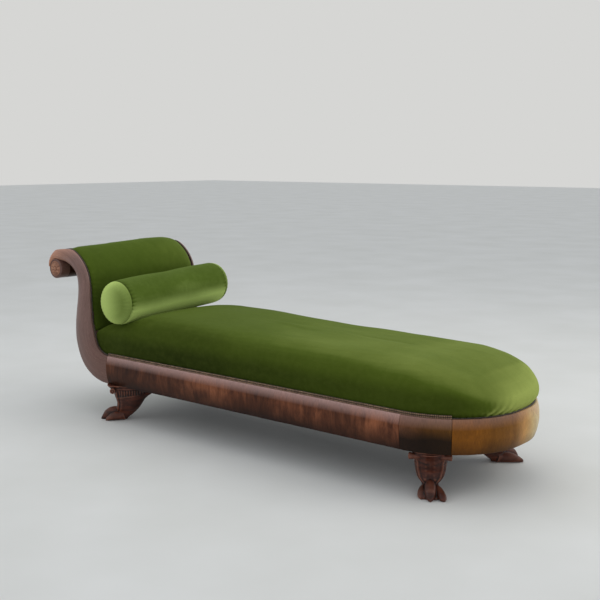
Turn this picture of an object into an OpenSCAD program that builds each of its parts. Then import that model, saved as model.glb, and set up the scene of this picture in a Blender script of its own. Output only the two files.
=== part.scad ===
// Recamier with one scrolled head, a rounded foot end, four carved legs and a loose bolster.
// +X points to the foot end, -Y is the side with the near rail, +Z is up.
// The origin is on the floor under the middle of the whole piece.

/* [Overall] */
// Width over the two rounded rail faces
body_w = 604; // [590:1:700]
// Length of a straight side rail, from the arm joint to the start of the foot end
rail_len = 1391; // [1150:1:1650]
// How far the scrolled head reaches behind the arm joint
head_reach = 351; // [320:1:400]
// How far the rounded foot end reaches past the side rails
foot_rise = 277; // [235:1:285]
// Radius of the flat middle of the foot end
foot_bow_r = 1009; // [800:1:1500]
// Height of the crest of the scrolled arms
crest_h = 673; // [620:1:715]

/* [Rails] */
// Height of the underside of the rails, which is also the length of the legs
leg_h = 146; // [120:1:165]
// Height of a rail's face
rail_h = 112; // [98:1:126]
// Thickness of a rail at its fullest
rail_t = 48; // [40:1:60]
// How far the rounded face falls back at its lower edge
face_low = 12; // [6:0.5:15]
// How far the rounded face falls back at its upper edge
face_top = 8; // [4:0.5:12]
// Width of the wooden lip that borders the upholstery
lip_t = 6; // [4:0.5:9]
// Depth of the step behind the lip, where the covers are tacked
lip_h = 8; // [6:0.5:10]
// Angle of the foot end that each corner block takes
corner_angle = 35; // [25:1:45]

/* [Scrolled arms] */
// Thickness of an arm
arm_t = 48; // [40:1:60]
// Radius of the volute's eye
volute_r = 40; // [34:1:44]
// Drop of the volute's eye below the crest
volute_drop = 87; // [82:1:92]
// Growth of the scroll beyond the eye, where it leaves the crest
scroll_rise = 39; // [34:1:42]
// Radius of the turned rosette on the eye
rosette_r = 31; // [24:1:33]
// How far the rosette stands out of the eye
rosette_h = 6; // [3:0.5:8]

/* [Legs] */
// Distance of a head leg's centre inside the outer face, across the frame
leg_in = 62; // [52:1:64]
// Distance of a head leg's centre in front of the arm joint
leg_head_x = 40; // [30:1:50]
// Direction of the head legs' paws, turned from the length of the piece
leg_head_turn = 135; // [120:1:150]
// Distance of a foot leg's centre inside the rounded face of the foot end
leg_foot_in = 90; // [78:1:92]
// Direction of the foot legs' paws, turned from the length of the piece
leg_foot_turn = 60; // [45:1:72]
// Depth of a leg from its heel flare to the tip of its paw
leg_depth = 206; // [185:1:225]
// Full width of a leg across its shield
leg_w = 102; // [90:1:115]
// Radius of the small scroll at the top of the shield
leg_scroll_r = 10; // [7:0.5:12]
// How far each small scroll stands out beside the shield
leg_scroll_out = 14; // [8:1:20]
// Depth of the clefts between the toes
toe_cleft = 7; // [3:0.5:9]

/* [Seat] */
// Height of the seat's crown at its middle
seat_crown_h = 415; // [395:1:435]
// How much lower the seat lies under the bolster
seat_dip = 24; // [15:1:32]
// How much lower the seat's top is at the tip of the foot end
seat_foot_fall = 80; // [60:1:95]
// How far the seat's side swells past its seam
seat_swell = 9; // [4:0.5:12]
// Width of a webbing strap
web_w = 50; // [40:1:60]
// Thickness of a webbing strap
web_t = 1.8; // [1.2:0.1:2.5]
// Wire thickness of a seat spring
spring_wire = 4; // [3:0.1:5]
// Radius of a seat spring at its ends
spring_end_r = 42; // [34:1:46]
// Radius of a seat spring at its waist
spring_waist_r = 24; // [18:1:30]

/* [Headrest] */
// Thickness of the headrest's padding, measured into the arm
head_pad_t = 34; // [28:1:38]
// How far the headrest's middle swells past the arms
head_swell = 3; // [1:0.5:6]

/* [Bolster] */
// Radius of the bolster
bolster_r = 88; // [75:1:95]
// Distance of the bolster's gathered seams inside the outer faces
bolster_in = 22; // [20:1:80]
// How far each cap of the bolster swells
bolster_cap = 13; // [6:1:15]
// Distance of the bolster's middle in front of the arm joint
bolster_x = 35; // [14:1:60]
// Turn of the bolster towards the back at its far end
bolster_turn = 3; // [0:0.5:5]

/* [Hidden] */

$fn = 64;
overrun = 1;
fit_gap = 0.3;

half_w = body_w/2;
bolster_len = body_w - 2*bolster_in;
total_len = head_reach + rail_len + foot_rise;
joint_x = head_reach - total_len/2;
foot_x = joint_x + rail_len;
rail_top = leg_h + rail_h;
step_top = rail_top - lip_h;

// The foot end is a three-centred arch: two round sides and a flat bow between them
side_r = (2*foot_rise*foot_bow_r - half_w*half_w - foot_rise*foot_rise)/(2*(foot_bow_r - half_w));
side_y = half_w - side_r;
bow_x = foot_rise - foot_bow_r;
bow_half_angle = atan2(side_y, -bow_x);

// Rounded face of the rails and arms: its fullest point, its curve and its number of flats
face_peak_share = 0.58;
face_power = 2.2;
face_steps = 8;

// Rebate under the rails for the webbing and the dust cover
rebate_w = 22;
cover_t = 1.2;
rebate_h = cover_t + 2*web_t;

wood_dark = [0.23, 0.11, 0.07];
wood_red = [0.34, 0.17, 0.11];
wood_gold = [0.45, 0.28, 0.13];
wood_plain = [0.72, 0.58, 0.40];
velvet = [0.27, 0.38, 0.10];
tan_thread = [0.62, 0.50, 0.34];

function face_in(t) = t < face_peak_share
    ? face_low*pow((face_peak_share - t)/face_peak_share, face_power)
    : face_top*pow((t - face_peak_share)/(1 - face_peak_share), face_power);

// Section of a strip of width w: distance from its lower edge, and depth from its fullest face
function face_section(w) = [for (i = [0:face_steps]) [w*i/face_steps, face_in(i/face_steps)]];
function rail_section() = concat(face_section(rail_h), [
    [rail_h, face_top + lip_t], [rail_h - lip_h, face_top + lip_t], [rail_h - lip_h, rail_t],
    [rebate_h, rail_t], [rebate_h, rail_t - rebate_w], [0, rail_t - rebate_w]]);
function arm_section(w, step) = concat(face_section(w), [
    [w, face_top + lip_t], [w - step, face_top + lip_t], [w - step, arm_t], [0, arm_t]]);

// Smooth curve through a list of points, with a number of steps between neighbours
function spline_at(a, b, c, d, t) = 0.5*(2*b + (c - a)*t + (2*a - 5*b + 4*c - d)*t*t
    + (3*b - a - 3*c + d)*t*t*t);
function spline(p, steps) = let (n = len(p)) concat([for (i = [0:n - 2], k = [0:steps - 1])
    spline_at(p[max(i - 1, 0)], p[i], p[i + 1], p[min(i + 2, n - 1)], k/steps)], [p[n - 1]]);

// Closed skin through rings of points; cap is the list of faces that closes the first ring
function skin_faces(rows, n) = [for (r = [0:rows - 2], c = [0:n - 1]) let (d = (c + 1) % n)
    each [[r*n + c, (r + 1)*n + d, r*n + d], [r*n + c, (r + 1)*n + c, (r + 1)*n + d]]];
function far_cap(cap, first) = [for (face = cap) [for (k = [len(face) - 1:-1:0]) first + face[k]]];
module loft(rings, cap = undef) {
    n = len(rings[0]);
    rows = len(rings);
    near_cap = is_undef(cap) ? [[for (c = [0:n - 1]) c]] : cap;
    polyhedron([for (r = rings) each r],
        concat(skin_faces(rows, n), near_cap, far_cap(near_cap, (rows - 1)*n)));
}

// Edges of the scrolled arm, from the rail joint to the crest
arm_back_shares = [[0, 0], [0.11, 0.004], [0.235, 0.025], [0.346, 0.063], [0.443, 0.12],
    [0.515, 0.2], [0.562, 0.309], [0.562, 0.424], [0.54, 0.529], [0.512, 0.624], [0.499, 0.71],
    [0.51, 0.777], [0.548, 0.828], [0.615, 0.866], [0.693, 0.891], [0.77, 0.901]];
arm_front_shares = [[0, 0], [0.078, 0.015], [0.144, 0.044], [0.191, 0.091], [0.222, 0.152],
    [0.247, 0.225], [0.266, 0.309], [0.274, 0.395], [0.28, 0.48], [0.285, 0.571], [0.291, 0.652],
    [0.307, 0.738], [0.343, 0.811], [0.41, 0.887], [0.512, 0.956], [0.632, 0.993]];
scroll_from = 82;
scroll_to = 170;
scroll_points = 4;
scroll_power = 1.2;
scroll_shares = [for (k = [0:scroll_points]) k/scroll_points];
function scroll_angle(share) = scroll_from + share*(scroll_to - scroll_from);
eye_x = joint_x - head_reach + volute_r;
eye_z = crest_h - volute_drop;
arm_steps = 2;
eye_bite = 2;
eye_lap = 0.5;
arm_back = spline(concat(
    [for (s = arm_back_shares) [joint_x - s[0]*head_reach, leg_h + s[1]*(crest_h - leg_h)]],
    [for (s = scroll_shares) let (a = scroll_angle(s))
        [eye_x, eye_z] + (volute_r - eye_bite)*[cos(a), sin(a)]]), arm_steps);
arm_front = spline(concat(
    [for (s = arm_front_shares) [joint_x - s[0]*head_reach, rail_top + s[1]*(crest_h - rail_top)]],
    [for (s = scroll_shares) let (a = scroll_angle(s))
        [eye_x, eye_z] + (volute_r + eye_lap + scroll_rise*pow(1 - s, scroll_power))*[cos(a), sin(a)]]),
    arm_steps);
arm_last = len(arm_back) - 1;
step_end = arm_steps*(len(arm_back_shares) + 1);
step_fade = 4;
step_width_share = 0.2;

// A point of the arm's side view, at a depth below its front edge
function arm_width(i) = norm(arm_back[i] - arm_front[i]);
function arm_at(i, depth) = arm_front[i] + depth*(arm_back[i] - arm_front[i])/arm_width(i);
function arm_step(i) = min(lip_h, arm_width(i)*step_width_share)
    *min(1, max(overrun/lip_h, (step_end - i)/step_fade));

// Depth profile of a foot-end or rail piece, as points beside the arc's centre
function arc_section(r) = [for (p = rail_section()) [r - p[1], leg_h + p[0]]];

module side_rail() {
    translate([joint_x, 0, 0]) rotate([90, 0, 90]) linear_extrude(rail_len)
        polygon([for (p = rail_section()) [p[1] - half_w, leg_h + p[0]]]);
}
module side_rail_near() color(wood_red) side_rail();
module side_rail_far() color(wood_red) mirror([0, 1, 0]) side_rail();

module foot_corner() {
    translate([foot_x, -side_y, 0]) rotate([0, 0, -90]) rotate_extrude(angle = corner_angle)
        polygon(arc_section(side_r));
}
module foot_corner_near() color(wood_dark) foot_corner();
module foot_corner_far() color(wood_dark) mirror([0, 1, 0]) foot_corner();

module bow_side() {
    translate([foot_x, -side_y, 0]) rotate([0, 0, corner_angle - 90])
        rotate_extrude(angle = 90 - corner_angle - bow_half_angle) polygon(arc_section(side_r));
}
module foot_bow_near() color(wood_gold) bow_side();
module foot_bow_far() color(wood_gold) mirror([0, 1, 0]) bow_side();
module foot_bow_middle() color(wood_gold) translate([foot_x + bow_x, 0, 0])
    rotate([0, 0, -bow_half_angle])
        rotate_extrude(angle = 2*bow_half_angle) polygon(arc_section(foot_bow_r));

// The scrolled arms, with the eye of the volute as a turned disc
module scroll_arm() {
    loft([for (i = [0:arm_last]) [for (p = arm_section(arm_width(i), arm_step(i)))
        let (q = arm_at(i, arm_width(i) - p[0])) [q[0], p[1] - half_w, q[1]]]]);
    translate([eye_x, face_top/2 - half_w, eye_z]) rotate([-90, 0, 0])
        cylinder(r = volute_r, h = arm_t - face_top/2);
}
module scroll_arm_near() color(wood_red) scroll_arm();
module scroll_arm_far() color(wood_red) mirror([0, 1, 0]) scroll_arm();

rosette_ring = 4;
module volute_rosette() {
    translate([eye_x, face_top/2 - half_w, eye_z]) rotate([90, 0, 0]) rotate_extrude()
        difference() {
            union() {
                square([rosette_r, rosette_h/2]);
                square([rosette_r/3, rosette_h]);
            }
            translate([rosette_r*2/3, rosette_h/2]) circle(r = rosette_ring/2, $fn = 24);
        }
}
module volute_rosette_near() color(wood_dark) volute_rosette();
module volute_rosette_far() color(wood_dark) mirror([0, 1, 0]) volute_rosette();

// Cross members of the head lie between the arms and follow their side view
module between_arms(points, clear = 0) {
    translate([0, half_w - arm_t - clear, 0]) rotate([90, 0, 0])
        linear_extrude(body_w - 2*arm_t - 2*clear) polygon(points);
}
function strip(i0, i1, d0, d1) = concat([for (i = [i0:i1]) arm_at(i, d0)],
    [for (i = [i1:-1:i0]) arm_at(i, d1)]);
function strip_to_back(i0, i1, d0, inset) = concat([for (i = [i0:i1]) arm_at(i, d0)],
    [for (i = [i1:-1:i0]) arm_at(i, arm_width(i) - inset)]);
function back_strip(i0, i1, thick) = concat([for (i = [i0:i1]) arm_at(i, arm_width(i) - thick)],
    [for (i = [i1:-1:i0]) arm_back[i]]);

panel_t = 3;
board_t = 22;
crest_first_step = 30;
board_steps = 4;
low_rail_first_step = 9;
panel_first_step = 3;
module crest_roll() color(wood_red) {
    translate([eye_x, half_w - arm_t, eye_z]) rotate([90, 0, 0])
        cylinder(r = volute_r, h = body_w - 2*arm_t);
    between_arms(strip_to_back(crest_first_step, arm_last - 1, 0, 0));
}
module crest_board() color(wood_plain)
    between_arms(strip_to_back(crest_first_step - board_steps, crest_first_step, head_pad_t + web_t,
        panel_t + fit_gap));
module back_low_rail() color(wood_plain) between_arms(strip(low_rail_first_step,
    low_rail_first_step + board_steps, head_pad_t + web_t, head_pad_t + web_t + board_t));

// The rail at the head end of the seat stands between the arms, on the line of the webbing
head_rail_t = 35;
head_rail_gap = 7;
module head_seat_rail() color(wood_plain)
    translate([joint_x - head_rail_gap - head_rail_t, arm_t - half_w, leg_h + rebate_h])
        cube([head_rail_t, body_w - 2*arm_t, rail_h - lip_h - rebate_h]);

bearer_w = 60;
bearer_t = 30;
bearer_head_share = 0.33;
bearer_foot_share = 0.72;
module seat_bearer(share) {
    translate([joint_x + share*rail_len - bearer_w/2, rail_t - half_w, leg_h + rebate_h])
        cube([bearer_w, body_w - 2*rail_t, bearer_t]);
}
module seat_bearer_head() color(wood_plain) seat_bearer(bearer_head_share);
module seat_bearer_foot() color(wood_plain) seat_bearer(bearer_foot_share);

// Each leg stands on a diagonal, with its paw pointing out; 1 means a foot leg and 0 a head leg
foot_leg_angle = corner_angle/2 - 90;
module at_leg(foot) {
    translate(foot == 1
        ? [foot_x, -side_y, 0] + (side_r - leg_foot_in)*[cos(foot_leg_angle), sin(foot_leg_angle), 0]
        : [joint_x + leg_head_x, leg_in - half_w, 0])
        rotate([0, 0, foot == 1 ? -leg_foot_turn : -leg_head_turn]) children();
}
dowel_r = 8;
dowel_in = 45;
dowel_back = 15;
module dowel_at(foot, clear = 0) {
    at_leg(foot) translate([-dowel_back, 0, leg_h - dowel_in - clear])
        cylinder(r = dowel_r + clear, h = rebate_h + 2*dowel_in + 2*clear);
}
module leg_dowel_head_near() color(wood_plain) dowel_at(0);
module leg_dowel_head_far() color(wood_plain) mirror([0, 1, 0]) dowel_at(0);
module leg_dowel_foot_near() color(wood_plain) dowel_at(1);
module leg_dowel_foot_far() color(wood_plain) mirror([0, 1, 0]) dowel_at(1);

block_h = 70;
block_d = 90;
block_foot_len = 120;
module corner_block_head() difference() {
    translate([joint_x - head_rail_gap, max(arm_t, rail_t) - half_w, leg_h + rebate_h])
        cube([block_d, block_d, block_h]);
    dowel_at(0, fit_gap/2);
}
module corner_block_head_near() color(wood_plain) corner_block_head();
module corner_block_head_far() color(wood_plain) mirror([0, 1, 0]) corner_block_head();

module corner_block_foot() difference() {
    translate([foot_x, -side_y, leg_h + rebate_h]) intersection() {
        cylinder(r = side_r - rail_t, h = block_h);
        rotate([0, 0, foot_leg_angle]) translate([side_r - rail_t - block_d, -block_foot_len/2, 0])
            cube([block_d, block_foot_len, block_h]);
    }
    dowel_at(1, fit_gap/2);
}
module corner_block_foot_near() color(wood_plain) corner_block_foot();
module corner_block_foot_far() color(wood_plain) mirror([0, 1, 0]) corner_block_foot();

// Carved leg, as level rings: height, heel and toe sides along the paw, half width, clefts.
// Heights are shares of leg_h, depths of leg_depth, half widths of leg_w.
leg_level_shares = [[0, -0.07, 0.44, 0.4, 0.8], [0.036, -0.085, 0.476, 0.455, 1],
    [0.087, -0.1, 0.466, 0.455, 1], [0.145, -0.14, 0.437, 0.43, 1], [0.217, -0.2, 0.4, 0.36, 0.8],
    [0.283, -0.245, 0.34, 0.29, 0.4], [0.32, -0.265, 0.3, 0.27, 0], [0.348, -0.28, 0.165, 0.29, 0],
    [0.4, -0.305, 0.155, 0.35, 0], [0.47, -0.335, 0.15, 0.41, 0], [0.565, -0.378, 0.165, 0.455, 0],
    [0.667, -0.46, 0.19, 0.48, 0], [0.71, -0.515, 0.205, 0.49, 0], [0.754, -0.53, 0.22, 0.5, 0],
    [0.928, -0.53, 0.25, 0.5, 0], [0.942, -0.535, 0.29, 0.57, 0], [1, -0.535, 0.3, 0.58, 0]];
leg_sides = 36;
leg_back_narrow = 0.35;
leg_paw_power = 2.3;
leg_shield_power = 3;
toe_side_share = 0.39;
cleft_width_share = 0.12;
function bulge(v, power) = sign(v)*pow(abs(v), 2/power);
function leg_ring(s) = let (
    low = s[1]*leg_depth,
    high = s[2]*leg_depth,
    power = s[4] > 0 ? leg_paw_power : leg_shield_power)
    [for (i = [0:leg_sides - 1]) let (
        a = 360*i/leg_sides,
        side = bulge(sin(a), power),
        off = (abs(side) - toe_side_share)/cleft_width_share,
        cleft = cos(a) > 0 ? toe_cleft*s[4]*exp(-off*off) : 0)
        [(low + high)/2 + (high - low)/2*bulge(cos(a), power) - cleft,
            side*s[3]*leg_w*(1 - leg_back_narrow*(1 - cos(a))/2), s[0]*leg_h]];
scroll_x_share = 0.27;
scroll_z_share = 0.855;
module leg(foot) difference() {
    at_leg(foot) {
        loft([for (s = leg_level_shares) leg_ring(s)]);
        translate([scroll_x_share*leg_depth, leg_w/2 + leg_scroll_out, scroll_z_share*leg_h])
            rotate([90, 0, 0]) cylinder(r = leg_scroll_r, h = leg_w + 2*leg_scroll_out);
    }
    dowel_at(foot, fit_gap/2);
}
module leg_head_near() color(wood_dark) leg(0);
module leg_head_far() color(wood_dark) mirror([0, 1, 0]) leg(0);
module leg_foot_near() color(wood_dark) leg(1);
module leg_foot_far() color(wood_dark) mirror([0, 1, 0]) leg(1);

// Plan of the arch of the foot end, a distance inside the outer face
arch_steps = 12;
function arch_plan(inset) = concat(
    [for (i = [0:arch_steps]) let (a = -90 + (90 - bow_half_angle)*i/arch_steps)
        [foot_x + (side_r - inset)*cos(a), -side_y + (side_r - inset)*sin(a)]],
    [for (i = [arch_steps:-1:0]) let (a = 90 - (90 - bow_half_angle)*i/arch_steps)
        [foot_x + (side_r - inset)*cos(a), side_y + (side_r - inset)*sin(a)]]);
function arch_reach(y, inset) = abs(y) <= side_y
    ? foot_x + bow_x + sqrt(pow(foot_bow_r - inset, 2) - y*y)
    : foot_x + sqrt(pow(side_r - inset, 2) - pow(abs(y) - side_y, 2));

// Plan of a sheet that fills the frame, narrower between the arms than between the rails
function frame_plan(x, at_arms, inset) = concat([[x, -half_w + at_arms], [joint_x, -half_w + at_arms],
    [joint_x, -half_w + inset]], arch_plan(inset),
    [[joint_x, half_w - inset], [joint_x, half_w - at_arms], [x, half_w - at_arms]]);

rebate_inset = rail_t - rebate_w + fit_gap;
module dust_cover() color("dimgray") difference() {
    translate([0, 0, leg_h]) linear_extrude(cover_t)
        polygon(frame_plan(joint_x - head_rail_gap - head_rail_t, arm_t + fit_gap, rebate_inset));
    for (foot = [0, 1]) {
        dowel_at(foot, fit_gap);
        mirror([0, 1, 0]) dowel_at(foot, fit_gap);
    }
}

// Springs stand in rows of three over the crossings of the webbing
spring_row_shares = [0.09, 0.23, 0.44, 0.6, 0.83, 0.96];
spring_y_share = 0.26;
spring_y = spring_y_share*body_w;
web_y_shares = [-1, -0.5, 0, 0.5, 1];
web_between_shares = [0.16, 0.335, 0.52, 0.715, 0.895];
module seat_webbing_long() color("tan") for (s = web_y_shares) {
    y = s*spring_y - web_w/2;
    x = joint_x - head_rail_gap - head_rail_t;
    translate([x, y, leg_h + cover_t])
        cube([arch_reach(max(abs(y), abs(y + web_w)), rebate_inset) - x, web_w, web_t]);
}
module seat_webbing_cross() color("tan") for (s = concat(spring_row_shares, web_between_shares))
    translate([joint_x + s*rail_len - web_w/2, rebate_inset - half_w, leg_h + cover_t + web_t])
        cube([web_w, body_w - 2*rebate_inset, web_t]);

spring_turns = 3.5;
spring_rings = 7;
spring_start = 90;
spring_sides = 4;
spring_power = 1.5;
spring_low = leg_h + rebate_h + spring_wire/2;
spring_high = step_top - spring_wire/2;
spring_count = spring_turns*spring_rings;
function spring_point(t) = let (a = spring_start + 360*spring_turns*t, r = spring_waist_r
    + (spring_end_r - spring_waist_r)*pow(abs(2*t - 1), spring_power))
    [r*cos(a), r*sin(a), spring_low + (spring_high - spring_low)*t];
function spring_ring(t) = let (p = spring_point(t), r = norm([p[0], p[1]]))
    [for (c = [0:spring_sides - 1]) let (a = -360*c/spring_sides, grow = 1 + spring_wire/2*cos(a)/r)
        [p[0]*grow, p[1]*grow, p[2] + spring_wire/2*sin(a)]];
echo(least_gap_between_spring_turns = (spring_high - spring_low)/spring_turns - spring_wire);
module spring_row(k) color("silver") for (j = [-1:1])
    translate([joint_x + spring_row_shares[k]*rail_len, j*spring_y, 0])
        loft([for (i = [0:spring_count]) spring_ring(i/spring_count)]);
module spring_row_1() spring_row(0);
module spring_row_2() spring_row(1);
module spring_row_3() spring_row(2);
module spring_row_4() spring_row(3);
module spring_row_5() spring_row(4);
module spring_row_6() spring_row(5);

hessian_t = 1.5;
hessian_lap = 18;
module seat_hessian() color("burlywood") translate([0, 0, step_top]) linear_extrude(hessian_t)
    polygon(frame_plan(joint_x - head_rail_gap - head_rail_t, arm_t + fit_gap, rail_t - hessian_lap));

// Upholstered seat: rings that follow the frame's plan and draw in to a crowned spine
gimp_w = 6;
gimp_up = 3;
rail_gimp_up = 11;
pad_inset = face_top + lip_t + gimp_w + fit_gap;
pad_lift = hessian_t + fit_gap;
seat_end = 9;
seat_rail_steps = 9;
seat_anchor_share = 0.11;
seat_anchor_x = joint_x + seat_anchor_share*rail_len;
seat_arch = arch_plan(pad_inset);
seat_near = concat(
    [for (i = [seat_end:-1:0]) let (q = arm_at(i, lip_h - pad_lift)) [q[0], -half_w + pad_inset, q[1]]],
    [for (i = [1:seat_rail_steps]) [joint_x + rail_len*i/seat_rail_steps, -half_w + pad_inset,
        step_top + pad_lift]],
    [for (i = [1:arch_steps]) [seat_arch[i][0], seat_arch[i][1], step_top + pad_lift]]);
seat_rim = concat(seat_near, [for (i = [len(seat_near) - 1:-1:0])
    [seat_near[i][0], -seat_near[i][1], seat_near[i][2]]]);
// Rings of the seat: draw-in, height and swell
seat_ring_shares = [[1, 0, 0], [1, 0.13, 0], [1, 0.27, 0.7], [1, 0.48, 1], [0.992, 0.66, 0.8],
    [0.97, 0.79, 0.3], [0.925, 0.87, 0], [0.86, 0.92, 0], [0.75, 0.955, 0], [0.6, 0.978, 0],
    [0.42, 0.991, 0], [0.22, 0.998, 0], [0.06, 1, 0]];
// Line of the crown: places along the rails with shares of the dip under the bolster, then
// places along the foot end with shares of its fall
seat_head_shares = [[-0.033, 1.55], [0, 1], [0.044, 0.67], [0.094, 0.17], [0.18, -0.17], [0.5, 0],
    [0.833, 0.08]];
seat_foot_shares = [[0, 0.125], [0.3, 0.275], [0.6, 0.45], [1, 1]];
seat_crease_up = 20;
seat_crown_table = concat(
    [[arm_front[seat_end][0], arm_front[seat_end][1] + seat_crease_up]],
    [for (s = seat_head_shares) [joint_x + s[0]*rail_len, seat_crown_h - s[1]*seat_dip]],
    [for (s = seat_foot_shares) [foot_x + s[0]*foot_rise, seat_crown_h - s[1]*seat_foot_fall]]);
swell_run = 90;
function seat_point(p, s) = let (
    anchor = [min(max(p[0], seat_anchor_x), foot_x - side_y), 0],
    away = [p[0], p[1]] - anchor,
    side = p[0] < joint_x ? 0 : min(1, (p[0] - joint_x)/swell_run),
    q = anchor + away*s[0] + seat_swell*s[2]*side*away/norm(away))
    [q[0], q[1], p[2] + (lookup(q[0], seat_crown_table) - p[2])*s[1]];
seat_rings = [for (s = seat_ring_shares) [for (p = seat_rim) seat_point(p, s)]];

// Cap of a ring whose near and far halves mirror each other: a ladder of triangles across it
function ladder_cap(n) = [for (c = [0:n/2 - 2]) let (b = c + 1, d = n - 2 - c, e = n - 1 - c)
    each [[c, b, d], [c, d, e]]];
module seat_upholstery() color(velvet) loft(seat_rings, ladder_cap(len(seat_rim)));

// Headrest: a crowned strip over the arms' steps, thicker where it dips between the arms
head_first_step = 10;
head_steps = 6;
head_power = 4;
head_y = half_w - pad_inset;
function head_front(y) = -fit_gap - head_swell*(1 - pow(y/head_y, head_power));
function head_ring(i) = let (
    low = arm_step(i) - fit_gap,
    inner = half_w - arm_t - fit_gap,
    outline = concat([[-head_y, low]], [for (k = [-head_steps:head_steps]) let (y = head_y*k/head_steps)
        [y, head_front(y)]], [[head_y, low], [inner, low], [inner, head_pad_t - fit_gap],
        [-inner, head_pad_t - fit_gap], [-inner, low]]))
    [for (o = outline) let (q = arm_at(i, o[1])) [q[0], o[0], q[1]]];

// Cap of the headrest's ring, which is T-shaped: a fan over each half of its face, then its stem
head_mid = 1 + head_steps;
head_corner = 2 + 2*head_steps;
head_cap = let (a = head_corner + 1, b = a + 1, c = b + 1, d = c + 1) concat(
    [for (k = [0:head_mid - 1]) [d, k, k + 1]], [[d, head_mid, a]],
    [for (k = [head_mid:head_corner - 1]) [a, k, k + 1]], [[d, a, b], [d, b, c]]);
module headrest_upholstery() color(velvet)
    loft([for (i = [head_first_step:crest_first_step]) head_ring(i)], head_cap);

module back_webbing() color("tan") for (j = [-1:1]) translate([0, j*spring_y + web_w/2, 0])
    rotate([90, 0, 0]) linear_extrude(web_w)
        polygon(strip(head_first_step, crest_first_step - 1, head_pad_t, head_pad_t + web_t));

module outside_back() color(velvet)
    between_arms(back_strip(panel_first_step, crest_first_step - 1, panel_t));

// Gimp between wood and cover: a band of braid along the rails and a cord of it elsewhere
module gimp_profile(up) {
    square([gimp_w, lip_h + up - gimp_w/2]);
    translate([gimp_w/2, lip_h + up - gimp_w/2]) circle(d = gimp_w);
}
gimp_in = face_top + lip_t;
module gimp_arc(r, from, angle) rotate([0, 0, from]) rotate_extrude(angle = angle)
    translate([r - gimp_in - gimp_w, step_top]) gimp_profile(gimp_up);
module gimp_rail() translate([joint_x, gimp_in - half_w, step_top]) rotate([90, 0, 90])
    linear_extrude(rail_len) gimp_profile(rail_gimp_up);
module gimp_rail_near() color(tan_thread) gimp_rail();
module gimp_rail_far() color(tan_thread) mirror([0, 1, 0]) gimp_rail();
module gimp_foot_side() translate([foot_x, -side_y, 0]) gimp_arc(side_r, -90, 90 - bow_half_angle);
module gimp_foot_near() color(tan_thread) gimp_foot_side();
module gimp_foot_far() color(tan_thread) mirror([0, 1, 0]) gimp_foot_side();
module gimp_foot_bow() color(tan_thread) translate([foot_x + bow_x, 0, 0])
    gimp_arc(foot_bow_r, -bow_half_angle, 2*bow_half_angle);
function gimp_ring(i) = let (top = -gimp_up, low = arm_step(i) - fit_gap)
    [for (o = [[0, low], [0, top/2], [gimp_w/2, top], [gimp_w, top/2], [gimp_w, low]])
        let (q = arm_at(i, o[1])) [q[0], gimp_in + o[0] - half_w, q[1]]];
module gimp_arm() loft([for (i = [0:crest_first_step]) gimp_ring(i)]);
module gimp_arm_near() color(tan_thread) gimp_arm();
module gimp_arm_far() color(tan_thread) mirror([0, 1, 0]) gimp_arm();

// Loose bolster: its height is where it first meets the seat, plus the clearance
bolster_mid = [joint_x + bolster_x, 0];
bolster_dir = [-sin(bolster_turn), cos(bolster_turn)];
function bolster_lift_at(q) = let (d = (q[0] - bolster_mid[0])*bolster_dir[1]
    - (q[1] - bolster_mid[1])*bolster_dir[0])
    abs(d) < bolster_r ? q[2] + sqrt(bolster_r*bolster_r - d*d) : 0;
edge_samples = 6;
top_ring = 5;
bolster_z = 2*fit_gap + max([for (r = [top_ring:len(seat_rings) - 2], c = [0:len(seat_near) - 2],
    far = [0, 1], t = [0:edge_samples], u = [0:edge_samples]) let (
        a = far ? len(seat_rim) - 1 - c : c,
        b = far ? a - 1 : a + 1,
        p = seat_rings[r][a] + (seat_rings[r][b] - seat_rings[r][a])*t/edge_samples,
        q = seat_rings[r + 1][a] + (seat_rings[r + 1][b] - seat_rings[r + 1][a])*t/edge_samples)
    bolster_lift_at(p + (q - p)*u/edge_samples)]);
module at_bolster() translate([bolster_mid[0], bolster_mid[1], bolster_z])
    rotate([90, 0, 180 + bolster_turn]) children();
seam_in = 3;
seam_w = 7;
cap_edge_r = 12;
cap_angles = [75:-15:0];
module bolster_body() color(velvet) at_bolster() rotate_extrude() {
    difference() {
        translate([0, -bolster_len/2]) square([bolster_r, bolster_len]);
        for (s = [-1, 1]) translate([bolster_r + seam_w - seam_in, s*bolster_len/2]) circle(r = seam_w);
    }
}
function cap_outline() = concat([[0, bolster_cap]], [for (a = cap_angles) [bolster_r - cap_edge_r
    + (cap_edge_r - seam_in)*cos(a), (bolster_cap - seam_in)*sin(a)]], [[0, 0]]);
module bolster_cap_near() color(velvet) at_bolster() translate([0, 0, bolster_len/2])
    rotate_extrude() polygon(cap_outline());
module bolster_cap_far() color(velvet) at_bolster() mirror([0, 0, 1]) translate([0, 0, bolster_len/2])
    rotate_extrude() polygon(cap_outline());

side_rail_near();
side_rail_far();
foot_corner_near();
foot_corner_far();
foot_bow_near();
foot_bow_far();
foot_bow_middle();
scroll_arm_near();
scroll_arm_far();
volute_rosette_near();
volute_rosette_far();
crest_roll();
crest_board();
back_low_rail();
head_seat_rail();
seat_bearer_head();
seat_bearer_foot();
corner_block_head_near();
corner_block_head_far();
corner_block_foot_near();
corner_block_foot_far();
leg_head_near();
leg_head_far();
leg_foot_near();
leg_foot_far();
leg_dowel_head_near();
leg_dowel_head_far();
leg_dowel_foot_near();
leg_dowel_foot_far();
seat_webbing_long();
seat_webbing_cross();
spring_row_1();
spring_row_2();
spring_row_3();
spring_row_4();
spring_row_5();
spring_row_6();
seat_hessian();
seat_upholstery();
back_webbing();
headrest_upholstery();
outside_back();
dust_cover();
gimp_rail_near();
gimp_rail_far();
gimp_foot_near();
gimp_foot_far();
gimp_foot_bow();
gimp_arm_near();
gimp_arm_far();
bolster_body();
bolster_cap_near();
bolster_cap_far();
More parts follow.
